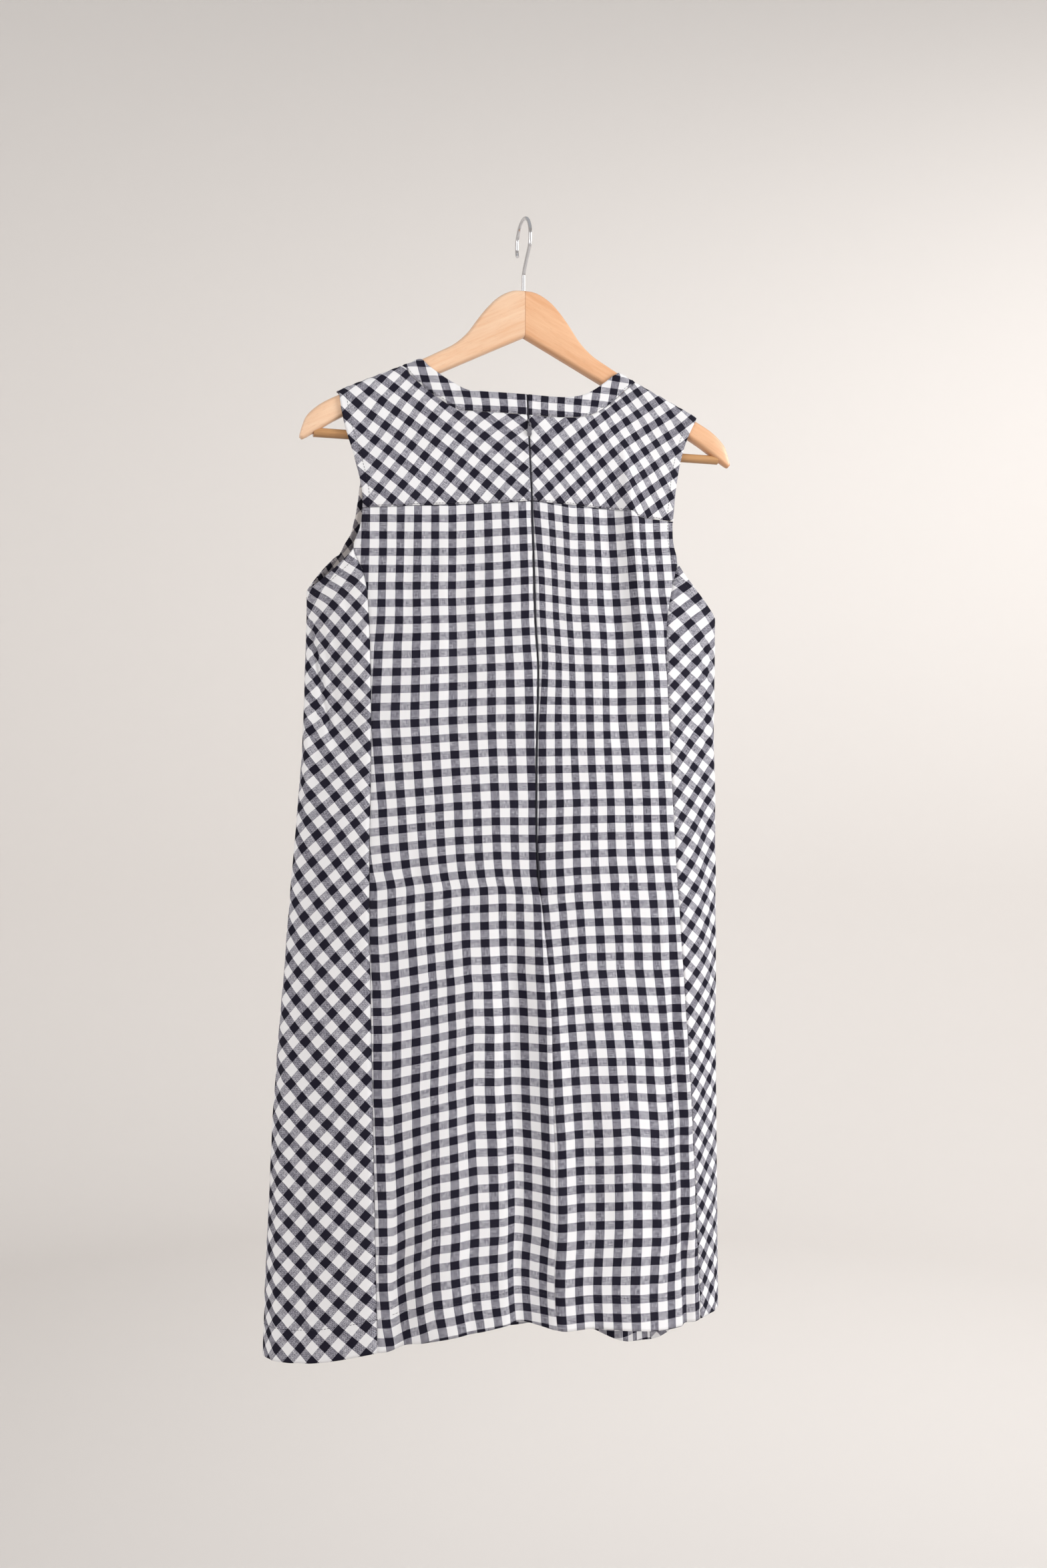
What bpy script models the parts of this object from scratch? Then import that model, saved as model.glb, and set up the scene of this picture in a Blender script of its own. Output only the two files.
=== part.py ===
"""Sleeveless A-line linen dress on a wooden hanger, its back towards -Y.

Metres, +Z up. The origin is where the hook rests on a rail, +X is the wearer's right, and the hanger's
arms lie along X. A point of the dress is named by its turn round the body (0 at centre back, 1 at the
right side, -1 at the left side, 2 at centre front) and by its height, unrolled over the shoulder.
"""
import math

import bmesh
import bpy
from mathutils import Matrix, Vector

# Cloth
WALL = 0.0012            # thickness of a cloth piece
SEAM_GAP = 0.0003        # clearance between two pieces
ZIP_SLIT = 0.0020        # open slit between the two back halves along the zip
ROLL = 0.0084            # radius of the cloth where it bends over the hanger
BAND_WIDTH = 0.0205      # neck band
FACING_WIDTH = 0.010     # bias strip inside the front of each armhole

# Dress landmarks
NECK_BACK = -0.1755      # top of the band at centre back
NECK_FRONT = -0.228      # top of the band at centre front
NECK_REACH = {"left": 0.1092, "right": 0.1039}       # reach of the band's top edge on the shoulder
NECK_SPREAD = 0.85       # how fast that reach grows down the band
YOKE_SEAM = -0.2830      # back yoke seam at the centre
YOKE_SEAM_DROP = {"left": 0.0145, "right": 0.0060}   # how far that seam falls towards the armhole
YOKE_SEAM_STEP = 0.0055  # and how far it drops again beside the fold on the right
ZIP_END = -0.660
CORNER = -0.336          # where the princess seams meet the armhole

# Hanger
WOOD_THICK = 0.012
WOOD_ROUND = 0.0045      # radius of its long edges
BAR_RADIUS = 0.0045
BAR_HEIGHT = -0.2249
BAR_HALF = 0.2015
WIRE_RADIUS = 0.0018
HOOK_INNER = 0.0205      # inner radius of the hook's loop
HOOK_SHOULDER = 118      # degrees from the top to where the loop runs into the shank
HOOK_TIP = -112          # degrees from the top to the hook's free end

# Zip
TAPE_WIDTH = 0.016
TAPE_THICK = 0.0009
COIL_WIDTH = 0.0013
SLIDER_THICK = 0.0010
SLIDER_TOP = -0.2010     # upper end of the slider
PULL_AXIS = -0.2065      # height of the pull's hinge
PULL_STAND = 0.0028      # how far the hinge lies outside the cloth
PULL_LENGTH = 0.0125


def table(columns, rows):
    return [dict(zip(columns, row)) for row in rows]


# Half widths and depths of the dress, with the cloth's own reach behind each armhole above the corner
BODY = table(("height", "left", "right", "back", "front"), [
    (-0.100, 0.207, 0.205, 0.0085, 0.0085),
    (-0.176, 0.212, 0.207, 0.0130, 0.0130),
    (-0.230, 0.215, 0.208, 0.0205, 0.0230),
    (-0.286, 0.216, 0.208, 0.0280, 0.0330),
    (-0.378, 0.217, 0.208, 0.0370, 0.0430),
    (-0.500, 0.220, 0.206, 0.0470, 0.0520),
    (-0.660, 0.233, 0.205, 0.0610, 0.0600),
    (-0.880, 0.250, 0.203, 0.0860, 0.0680),
    (-1.150, 0.262, 0.203, 0.1110, 0.0760),
])

# The centre back seam wanders a little below the stiff part of the zip
CENTRE = table(("height", "reach"), [
    (-0.400, 0.0000), (-0.450, 0.0015), (-0.550, -0.0028), (-0.640, -0.0042), (-0.690, 0.0000),
    (-0.750, 0.0035), (-0.860, 0.0020), (-0.970, 0.0016), (-1.030, -0.0020), (-1.080, 0.0000),
])

# Reach of the armhole edge, and of the princess seam below the corner
BACK_EDGE = table(("height", "left", "right"), [
    (-0.178, 0.1885, 0.1875),
    (-0.212, 0.1830, 0.1715),
    (-0.250, 0.1730, 0.1600),
    (-0.286, 0.1690, 0.1540),
    (-0.315, 0.1710, 0.1530),
    (-0.336, 0.1760, 0.1570),
    (-0.362, 0.1660, 0.1500),
    (-0.400, 0.1620, 0.1430),
    (-0.500, 0.1610, 0.1430),
    (-0.660, 0.1650, 0.1490),
    (-0.880, 0.1660, 0.1590),
    (-1.150, 0.1650, 0.1670),
])
FRONT_EDGE = table(("height", "left", "right"), [
    (-0.178, 0.1885, 0.1875),
    (-0.212, 0.1740, 0.1650),
    (-0.250, 0.1620, 0.1520),
    (-0.286, 0.1620, 0.1470),
    (-0.315, 0.1680, 0.1500),
    (-0.336, 0.1740, 0.1560),
    (-0.380, 0.1600, 0.1500),
    (-0.500, 0.1480, 0.1460),
    (-0.880, 0.1540, 0.1500),
    (-1.150, 0.1600, 0.1540),
])
UNDERARM = {"left": -0.377, "right": -0.391}

# Edge of the neck band: share of its reach, and how far it has risen there from its lowest point
NECK_CURVE = table(("share", "left", "right", "front"), [
    (0.00, 0.000, 0.00, 0.00), (0.28, 0.000, 0.00, 0.01), (0.44, 0.000, 0.04, 0.04),
    (0.56, 0.015, 0.12, 0.12), (0.68, 0.190, 0.29, 0.28), (0.80, 0.410, 0.54, 0.51),
    (0.87, 0.560, 0.71, 0.67), (0.93, 0.700, 0.82, 0.81), (1.00, 1.000, 1.00, 1.00),
])

HEM = table(("turn", "height"), [
    (-2.000, -1.126), (-1.700, -1.128), (-1.400, -1.122), (-1.000, -1.101), (-0.658, -1.094),
    (-0.434, -1.081), (-0.359, -1.0745), (-0.172, -1.0655), (-0.085, -1.062), (0.000, -1.070),
    (0.126, -1.075), (0.275, -1.082), (0.368, -1.088), (0.604, -1.091), (1.000, -1.096),
    (1.230, -1.118), (1.410, -1.145), (1.560, -1.143), (1.780, -1.122), (2.000, -1.126),
])

# Folds as ridges (out above 0) and troughs, at a reach along X that drifts from their top to their low end
FOLD_COLUMNS = ("reach_top", "reach_low", "top", "low", "width", "out")
BACK_FOLDS = table(FOLD_COLUMNS, [
    (0.074, 0.092, -0.225, -0.560, 0.0130, -0.0050),
    (0.102, 0.122, -0.205, -0.520, 0.0120, 0.0040),
    (-0.078, -0.082, -0.300, -0.520, 0.0140, -0.0025),
    (-0.030, -0.028, -0.660, -1.200, 0.0160, -0.0100),
    (0.004, 0.006, -0.700, -1.200, 0.0120, 0.0040),
    (0.034, 0.040, -0.820, -1.200, 0.0140, -0.0040),
    (0.075, 0.085, -0.760, -1.200, 0.0220, 0.0040),
    (0.138, 0.148, -0.700, -1.200, 0.0100, -0.0040),
    (-0.135, -0.142, -0.880, -1.200, 0.0120, -0.0060),
    (-0.100, -0.105, -0.800, -1.200, 0.0200, 0.0030),
])
FRONT_FOLDS = table(FOLD_COLUMNS, [
    (-0.080, -0.100, -0.420, -1.250, 0.0260, -0.0080),
    (-0.030, -0.040, -0.560, -1.250, 0.0220, 0.0050),
    (0.020, 0.030, -0.480, -1.250, 0.0260, -0.0060),
    (0.090, 0.112, -0.560, -1.250, 0.0300, -0.0360),
])
# The side panels' folds drift in turn, and their width is in turn too
SIDE_FOLDS = table(FOLD_COLUMNS, [
    (-0.76, -0.60, -0.385, -0.560, 0.060, -0.0060),
    (-0.92, -0.84, -0.385, -0.600, 0.070, 0.0040),
    (-1.20, -1.15, -0.430, -1.250, 0.120, -0.0060),
    (0.84, 0.82, -0.480, -1.250, 0.060, 0.0030),
    (1.22, 1.15, -0.430, -1.250, 0.120, -0.0060),
])
FADE_IN = 0.10
FADE_OUT = 0.08

HANGER = table(("reach", "top", "low"), [
    (0.0000, -0.0700, -0.1164), (0.0100, -0.0706, -0.1213), (0.0200, -0.0745, -0.1262),
    (0.0304, -0.0818, -0.1313), (0.0441, -0.0972, -0.1380), (0.0578, -0.1160, -0.1448),
    (0.0714, -0.1285, -0.1515), (0.0880, -0.1380, -0.1597), (0.1050, -0.1470, -0.1683),
    (0.1400, -0.1650, -0.1859), (0.1650, -0.1773, -0.1990), (0.1890, -0.1890, -0.2120),
    (0.2010, -0.1955, -0.2196), (0.2110, -0.2030, -0.2263), (0.2180, -0.2110, -0.2308),
    (0.2220, -0.2215, -0.2325), (0.2235, -0.2275, -0.2305),
])

# Where the walls' columns and rows of points stand, as shares of an edge
NECK_SHARES = [0.0, 0.20, 0.38, 0.52, 0.64, 0.74, 0.83, 0.92, 0.9467, 0.9733, 1.0]
SHOULDER_SHARES = [0.25, 0.50, 0.75, 1.0]
FRONT_NECK_SHARES = [0.0, 0.20, 0.38, 0.52, 0.64, 0.74, 0.83, 0.90, 0.955, 0.97, 0.985, 1.0]
SEAM_SHARES = [0.0, 0.09, 0.18, 0.27, 0.36, 0.44, 0.51, 0.57, 0.594, 0.67, 0.74, 0.81, 0.87, 0.915, 0.95,
               0.975, 1.0]
YOKE_SHARES = [0.0, 0.15, 0.30, 0.45, 0.60, 0.73, 0.82, 0.875, 0.907, 0.938, 0.969, 1.0]
ARMHOLE_SHARES = [0.12, 0.27, 0.42, 0.56, 0.68, 0.78, 0.86, 0.915, 0.936, 0.957, 0.979, 1.0]
BACK_NECK_PART = 0.62    # share of the yoke's top edge that lies along the band
FRONT_NECK_PART = 0.64
BACK_SEAM_PART = 0.88    # share of the back panel's outer edge that lies below the corner
SEAM_PART = 0.70         # share of a front edge that lies below the corner

COLOURS = {
    "linen": ((0.30, 0.31, 0.38), 0.90, 0.0),
    "facing": ((0.16, 0.16, 0.21), 0.90, 0.0),
    "wood": ((0.83, 0.55, 0.34), 0.45, 0.0),
    "bar_wood": ((0.72, 0.47, 0.26), 0.50, 0.0),
    "chrome": ((0.72, 0.72, 0.74), 0.15, 1.0),
    "tape": ((0.02, 0.02, 0.04), 0.85, 0.0),
    "zip_metal": ((0.25, 0.25, 0.28), 0.35, 0.6),
}


def lerp(a, b, t):
    return a + (b - a) * t


def ease(t):
    t = min(1.0, max(0.0, t))
    return t * t * (3 - 2 * t)


def read(rows, key, column, at):
    """A column's value on a smooth curve through the rows, held level past both ends."""
    if rows[0][key] > rows[-1][key]:
        rows = rows[::-1]
    if at <= rows[0][key]:
        return rows[0][column]
    if at >= rows[-1][key]:
        return rows[-1][column]
    i = max(k for k in range(len(rows) - 1) if rows[k][key] <= at)
    here, there = rows[i], rows[i + 1]
    before, after = rows[max(0, i - 1)], rows[min(len(rows) - 1, i + 2)]
    span = there[key] - here[key]
    start = (there[column] - before[column]) / (there[key] - before[key]) * span
    end = (after[column] - here[column]) / (after[key] - here[key]) * span
    t = (at - here[key]) / span
    return ((2 * t ** 3 - 3 * t ** 2 + 1) * here[column] + (t ** 3 - 2 * t ** 2 + t) * start
            + (3 * t ** 2 - 2 * t ** 3) * there[column] + (t ** 3 - t ** 2) * end)


def side_name(place):
    return "left" if place < 0 else "right"


# The dress's surface

def ridge(x):
    """Height of the cloth's ridge over the hanger's arm, carried on straight towards the neck."""
    reach = abs(x)
    lift = lerp(0.0022, 0.0050, ease((reach - 0.10) / 0.09))
    return -0.1470 - 0.5 * (reach - 0.105) + lift


def ridge_flat(x):
    """Unrolled height of that ridge."""
    return ridge(x) + ROLL * (math.pi / 2 - 1)


def folds(rows, place, height):
    out = 0.0
    for row in rows:
        fade = ease((row["top"] - height) / FADE_IN) * ease((height - row["low"]) / FADE_OUT)
        if fade > 0:
            t = (row["top"] - height) / (row["top"] - row["low"])
            at = lerp(row["reach_top"], row["reach_low"], t)
            out += row["out"] * fade * math.exp(-((place - at) / row["width"]) ** 2)
    return out


def surface(turn, flat):
    """Outer face of the cloth."""
    if turn > 2:
        turn -= 4
    angle = turn * math.pi / 2
    half = read(BODY, "height", side_name(turn), flat)
    x = half * math.sin(angle)
    crest = ridge(x)
    bend = (flat - crest + ROLL) / ROLL
    height = flat if bend < 0 else crest - ROLL * (1 - math.sin(bend))
    front = abs(turn) > 1
    depth = read(BODY, "height", "front" if front else "back", height)
    full = depth * abs(math.cos(angle))
    hold = ROLL if height > CORNER + 0.004 else 0.0
    free = ease((crest - ROLL - height) / 0.085)
    if bend > 0:
        out = ROLL * math.cos(bend)
    else:
        out = hold + (full - hold) * free if full > hold else hold
    body = 1 - ease((abs(math.sin(angle)) - 0.82) / 0.15)
    out += folds(FRONT_FOLDS if front else BACK_FOLDS, x, height) * free * body
    point = Vector((x, out if front else -out, height))
    stand = folds(SIDE_FOLDS, turn, height)
    return point + stand * Vector((math.sin(angle) / half, -math.cos(angle) / depth, 0)).normalized()


def normal(turn, flat):
    across = surface(turn + 0.004, flat) - surface(turn - 0.004, flat)
    down = surface(turn, flat - 0.001) - surface(turn, flat + 0.001)
    return down.cross(across).normalized()


def turn_at(x, flat, front=False):
    """Turn of the point at reach x."""
    half = read(BODY, "height", side_name(x), flat)
    turn = math.asin(max(-1.0, min(1.0, x / half))) / (math.pi / 2)
    if front:
        return 2 - turn if x >= 0 else -2 - turn
    return turn


# Seams and edges, each a place (turn, flat height); side is 1 for the right and -1 for the left

def zip_half(flat):
    """Half of the opening at centre back: the zip's slit, closing to a plain seam below it."""
    return lerp(SEAM_GAP, ZIP_SLIT, ease((flat - ZIP_END + 0.012) / 0.010)) / 2


def centre_reach(flat):
    return read(CENTRE, "height", "reach", flat)


def centre_back(side, flat):
    return turn_at(centre_reach(flat) + side * zip_half(flat), flat), flat


def side_edge(side, flat, front=False, shift=0.0):
    """Armhole edge or princess seam. shift moves it along X, out above 0."""
    rows = FRONT_EDGE if front else BACK_EDGE
    reach = read(rows, "height", side_name(side), flat) + shift
    return turn_at(side * reach, flat, front), flat


def neck_edge(side, share, front, below):
    """Edge of the neck, from the centre to the shoulder's ridge. below is the distance under its top."""
    reach = NECK_REACH[side_name(side)] + below * NECK_SPREAD
    low = (NECK_FRONT if front else NECK_BACK) - below
    rise = read(NECK_CURVE, "share", "front" if front else side_name(side), share)
    flat = lerp(low, ridge_flat(side * reach) - SEAM_GAP / 2, rise)
    x = side * max(share * reach, SEAM_GAP / 2 if front else zip_half(flat))
    return turn_at(x, flat, front), flat


def yoke_seam(side, share, shift=0.0):
    """Seam under the back yoke. shift moves it up or down."""
    reach = read(BACK_EDGE, "height", side_name(side), YOKE_SEAM)
    x = side * lerp(0.0, reach, share)
    step = YOKE_SEAM_STEP * ease((x - 0.107) / 0.008)
    flat = YOKE_SEAM - YOKE_SEAM_DROP[side_name(side)] * (abs(x) / reach) ** 0.8 - step + shift
    return turn_at(side * max(abs(x), zip_half(flat)), flat), flat


def hem(turn):
    return read(HEM, "turn", "height", turn)


def underarm(side, turn):
    """Lower edge of the armhole, straight in reach from a princess seam to the side."""
    front = abs(turn) > 1
    half = read(BODY, "height", side_name(side), CORNER)
    rows = FRONT_EDGE if front else BACK_EDGE
    start = read(rows, "height", side_name(side), CORNER) / half
    share = (math.sin(abs(turn) * math.pi / 2) - start) / (1 - start)
    return lerp(CORNER, UNDERARM[side_name(side)], max(0.0, share) ** (1.3 if front else 0.85))


def patch(low, top, near, far, fade=1):
    """Straight blend from the low edge to the top one, bowed as the near and far edges are.

    The higher fade is, the sooner an edge's bow dies out across the piece.
    """
    def bow(edge, u, v, k):
        return edge(v)[k] - lerp(low(u)[k], top(u)[k], v) if 0 < v < 1 else 0.0

    def place(u, v):
        return [lerp(low(u)[k], top(u)[k], v) + bow(near, 0.0, v, k) * (1 - u) ** fade
                + bow(far, 1.0, v, k) * u ** fade for k in range(2)]
    return place


# Solids

def material(name):
    colour, roughness, metallic = COLOURS[name]
    made = bpy.data.materials.new(name)
    made.use_nodes = True
    shader = made.node_tree.nodes["Principled BSDF"]
    shader.inputs["Base Color"].default_value = (*colour, 1.0)
    shader.inputs["Roughness"].default_value = roughness
    shader.inputs["Metallic"].default_value = metallic
    return made


def finish(name, mesh, slot, smooth=40):
    """Close a bmesh into a named object with its own material."""
    bmesh.ops.recalc_face_normals(mesh, faces=mesh.faces)
    data = bpy.data.meshes.new(name)
    mesh.to_mesh(data)
    mesh.free()
    data.shade_smooth()
    data.set_sharp_from_angle(angle=math.radians(smooth))
    made = material(slot).copy()
    made.name = name + "_" + slot
    data.materials.append(made)
    obj = bpy.data.objects.new(name, data)
    bpy.context.scene.collection.objects.link(obj)
    return obj


def skin(mesh, grid, closed_across=False):
    """Quads over a grid of vertices."""
    width = len(grid[0])
    for lower, upper in zip(grid, grid[1:]):
        for i in range(width if closed_across else width - 1):
            k = (i + 1) % width
            mesh.faces.new((lower[i], lower[k], upper[k], upper[i]))


def evenly(count):
    return [k / count for k in range(count + 1)]


def cloth(name, place, across, along, slot="linen", inset=0.0, wall=WALL):
    """A wall between the surface and its inner face, with points at shares across and along a patch."""
    mesh = bmesh.new()
    outer, inner = [], []
    for v in along:
        outer.append([])
        inner.append([])
        for u in across:
            turn, flat = place(u, v)
            point, out = surface(turn, flat), normal(turn, flat)
            outer[-1].append(mesh.verts.new(point - out * inset))
            inner[-1].append(mesh.verts.new(point - out * (inset + wall)))
    skin(mesh, outer)
    skin(mesh, [row[::-1] for row in inner])
    skin(mesh, [outer[0], inner[0]])
    skin(mesh, [inner[-1], outer[-1]])
    skin(mesh, [[row[0] for row in inner], [row[0] for row in outer]])
    skin(mesh, [[row[-1] for row in outer], [row[-1] for row in inner]])
    return finish(name, mesh, slot)


def tube(name, path, radius, sides, slot, cross=Vector((1, 0, 0))):
    """A round wire along points that lie in the plane square to cross."""
    mesh = bmesh.new()
    rings = []
    for i, point in enumerate(path):
        ahead = path[min(i + 1, len(path) - 1)] - path[max(i - 1, 0)]
        across = ahead.normalized().cross(cross)
        ring = []
        for k in range(sides):
            turn = 2 * math.pi * k / sides
            ring.append(mesh.verts.new(point + radius * (math.cos(turn) * cross + math.sin(turn) * across)))
        rings.append(ring)
    skin(mesh, rings, closed_across=True)
    mesh.faces.new(rings[0][::-1])
    mesh.faces.new(rings[-1])
    return finish(name, mesh, slot)


# Pieces of the dress

def shoulder_place(side, share, front):
    """Along the ridge from the band to the shoulder's tip."""
    start = neck_edge(side, 1.0, front, BAND_WIDTH + SEAM_GAP / 2)[0]
    tip = side_edge(side, -0.178, front)[0]
    turn = lerp(start, tip, share)
    return turn, ridge_flat(surface(turn, -0.178).x) - SEAM_GAP / 2


def upper_edge(side, share, front, neck_part):
    """Neck seam and shoulder in one, from the centre out."""
    if share <= neck_part:
        return neck_edge(side, share / neck_part, front, BAND_WIDTH + SEAM_GAP / 2)
    return shoulder_place(side, (share - neck_part) / (1 - neck_part), front)


def upper_shares(neck_part, neck_shares=NECK_SHARES):
    return [share * neck_part for share in neck_shares] + \
        [lerp(neck_part, 1.0, share) for share in SHOULDER_SHARES]


def princess(side, front, share):
    """Seam between a panel and a side panel, from the hem to the corner, with no gap taken off."""
    low = hem(side_edge(side, -1.10, front)[0])
    return lerp(low, CORNER, share)


def back_yoke(side):
    """From the yoke seam to the band and the shoulder, and from the zip to the armhole."""
    def low(u):
        return yoke_seam(side, u, SEAM_GAP / 2)

    def top(u):
        return upper_edge(side, u, False, BACK_NECK_PART)

    def near(v):
        return centre_back(side, lerp(low(0.0)[1], top(0.0)[1], v))

    def far(v):
        return side_edge(side, lerp(low(1.0)[1], top(1.0)[1], v))
    return cloth(f"back_yoke_{side_name(side)}", patch(low, top, near, far),
                 upper_shares(BACK_NECK_PART), YOKE_SHARES)


def panel_shares():
    return [share * BACK_SEAM_PART for share in SEAM_SHARES] + \
        [lerp(BACK_SEAM_PART, 1.0, t) for t in (0.4, 0.7, 1.0)]


def back_panel(side):
    """Straight-grain panel between the zip and the princess seam."""
    def far(v):
        if v <= BACK_SEAM_PART:
            flat = princess(side, False, v / BACK_SEAM_PART)
            return side_edge(side, flat, shift=-SEAM_GAP / 2)
        flat = lerp(CORNER, yoke_seam(side, 1.0, -SEAM_GAP / 2)[1], (v - BACK_SEAM_PART) / (1 - BACK_SEAM_PART))
        return side_edge(side, flat, shift=-SEAM_GAP / 2)

    def low(u):
        turn = lerp(centre_back(side, hem(0.0))[0], far(0.0)[0], u)
        return turn, lerp(hem(turn), far(0.0)[1], u ** 8)

    def top(u):
        return yoke_seam(side, u, -SEAM_GAP / 2)

    def near(v):
        return centre_back(side, lerp(low(0.0)[1], top(0.0)[1], v))
    return cloth(f"back_panel_{side_name(side)}", patch(low, top, near, far),
                 upper_shares(BACK_NECK_PART), panel_shares())


def side_place(side):
    """Patch of a side panel, from the back princess seam round to the front one."""
    def seam(front):
        return lambda v: side_edge(side, princess(side, front, v), front, SEAM_GAP / 2)
    near, far = seam(False), seam(True)

    def low(u):
        turn = lerp(near(0.0)[0], far(0.0)[0], u)
        return turn, hem(turn)

    def top(u):
        turn = lerp(near(1.0)[0], far(1.0)[0], u)
        return turn, underarm(side, turn)
    return patch(low, top, near, far)


def side_panel(side):
    return cloth(f"side_panel_{side_name(side)}", side_place(side), evenly(16), SEAM_SHARES)


def front_edge(side, v):
    """Princess seam and armhole in one, from the front hem to the shoulder."""
    if v <= SEAM_PART:
        return side_edge(side, princess(side, True, v / SEAM_PART), True, -SEAM_GAP / 2)
    tip = shoulder_place(side, 1.0, True)[1]
    flat = lerp(CORNER, tip, (v - SEAM_PART) / (1 - SEAM_PART))
    return side_edge(side, flat, True, -SEAM_GAP / 2 if v < 1 else 0.0)


def joined(edge):
    """An edge across the centre front, from the right side to the left, out of one for each side."""
    def place(u):
        side = 1 if u < 0.5 else -1
        turn, flat = edge(side, abs(u - 0.5) * 2)
        return (turn if side > 0 else turn + 4), flat
    return place


def mirrored(shares):
    return [(1 - share) / 2 for share in shares[::-1]] + [(1 + share) / 2 for share in shares[1:]]


def front_panel():
    """One plain piece from the shoulders and the band to the hem."""
    def hem_edge(side, share):
        far = front_edge(side, 0.0)
        turn = lerp(2.0 * side, far[0], share)
        return turn, hem(turn)
    low = joined(hem_edge)
    top = joined(lambda side, share: upper_edge(side, share, True, FRONT_NECK_PART))

    def end(side):
        def place(v):
            turn, flat = front_edge(side, v)
            return (turn if side > 0 else turn + 4), flat
        return place
    rows = [share * SEAM_PART for share in SEAM_SHARES] + [lerp(SEAM_PART, 1.0, t) for t in ARMHOLE_SHARES]
    return cloth("front_panel", patch(low, top, end(1), end(-1), 6),
                 mirrored(upper_shares(FRONT_NECK_PART, FRONT_NECK_SHARES)), rows)


def back_band(side):
    """Half of the band behind the neck, from the zip to the shoulder."""
    def low(u):
        return neck_edge(side, u, False, BAND_WIDTH - SEAM_GAP / 2)

    def top(u):
        return neck_edge(side, u, False, 0.0)

    def near(v):
        return centre_back(side, lerp(low(0.0)[1], top(0.0)[1], v))

    def far(v):
        return lerp(low(1.0)[0], top(1.0)[0], v), lerp(low(1.0)[1], top(1.0)[1], v)
    return cloth(f"neck_band_back_{side_name(side)}", patch(low, top, near, far), NECK_SHARES, evenly(2))


def front_band():
    """The whole front of the band in one piece."""
    low = joined(lambda side, share: neck_edge(side, share, True, BAND_WIDTH - SEAM_GAP / 2))
    top = joined(lambda side, share: neck_edge(side, share, True, 0.0))

    def end(u):
        return lambda v: (lerp(low(u)[0], top(u)[0], v), lerp(low(u)[1], top(u)[1], v))
    return cloth("neck_band_front", patch(low, top, end(0.0), end(1.0)), mirrored(FRONT_NECK_SHARES),
                 evenly(2))


def armhole_facing(side):
    """Bias strip on the inner face of the front armhole, from under the hanger down to the side."""
    panel = [lerp(SEAM_PART, 1.0, t) for t in ARMHOLE_SHARES[:5]]
    edge = [front_edge(side, v) for v in panel[::-1]]
    shape = side_place(side)
    corner = len(edge)
    edge += [shape(u, 1.0) for u in evenly(16)[:7:-1]]

    def inward(k):
        """Place inside the edge by the strip's width, square to the edge at its k-th point."""
        turn, flat = edge[k]
        point = surface(turn, flat)
        ahead = surface(*edge[min(k + 1, len(edge) - 1)]) - surface(*edge[max(k - 1, 0)])
        out = normal(turn, flat)
        into = out.cross(ahead).normalized()
        if k < corner and into.x * side > 0 or k >= corner and into.z > 0:
            into.negate()
        step = 0.01
        around = (surface(turn + step, flat) - point) / step
        flat_step = into.z * FACING_WIDTH
        turn_step = (into - Vector((0, 0, into.z))).dot(around) / around.length_squared * FACING_WIDTH
        return turn + turn_step, flat + flat_step
    inner = [inward(k) for k in range(len(edge))]
    count = len(edge) - 1

    def place(u, v):
        k = round(u * count)
        return lerp(edge[k][0], inner[k][0], v), lerp(edge[k][1], inner[k][1], v)
    return cloth(f"armhole_facing_{side_name(side)}", place, evenly(count), evenly(2), "facing",
                 WALL + 2 * SEAM_GAP, 0.0010)


# Zip

def zip_tape():
    """Tape behind the slit, with the coil standing up in it. Its section is one row of points."""
    inset = WALL + 2 * SEAM_GAP
    half, coil = TAPE_WIDTH / 2, COIL_WIDTH / 2
    section = [
        (-half, inset), (-coil - 0.0004, inset), (-coil, 0.0003), (coil, 0.0003), (coil + 0.0004, inset),
        (half, inset), (half, inset + TAPE_THICK), (-half, inset + TAPE_THICK),
    ]
    band_low = NECK_BACK - BAND_WIDTH
    levels = [lerp(hem(0.0), YOKE_SEAM, share) for share in panel_shares()]
    levels = [level for level in levels if level > ZIP_END - 0.004]
    levels += [lerp(YOKE_SEAM, band_low, share) for share in YOKE_SHARES[1:]]
    levels += [lerp(band_low, NECK_BACK, 0.5), NECK_BACK]
    mesh = bmesh.new()
    rings = []
    for flat in levels[::-1]:
        point, out = surface(0.0001, flat), normal(0.0001, flat)
        out.x = 0.0
        out.normalize()
        middle = Vector((centre_reach(flat), point.y, point.z))
        rings.append([mesh.verts.new(middle + Vector((x, 0, 0)) - out * depth) for x, depth in section])
    skin(mesh, rings, closed_across=True)
    mesh.faces.new(rings[0][::-1])
    mesh.faces.new(rings[-1])
    return finish("zip_tape", mesh, "tape")


def zip_frame():
    """The pull's hinge point, and the directions out of the cloth and up along it."""
    point, out = surface(0.0001, PULL_AXIS), normal(0.0001, PULL_AXIS)
    out = Vector((0, out.y, out.z)).normalized()
    up = Vector((0, -out.z, out.y)).normalized()
    if up.z < 0:
        up.negate()
    return Vector((0, point.y, point.z)) + out * PULL_STAND, out, up


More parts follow.
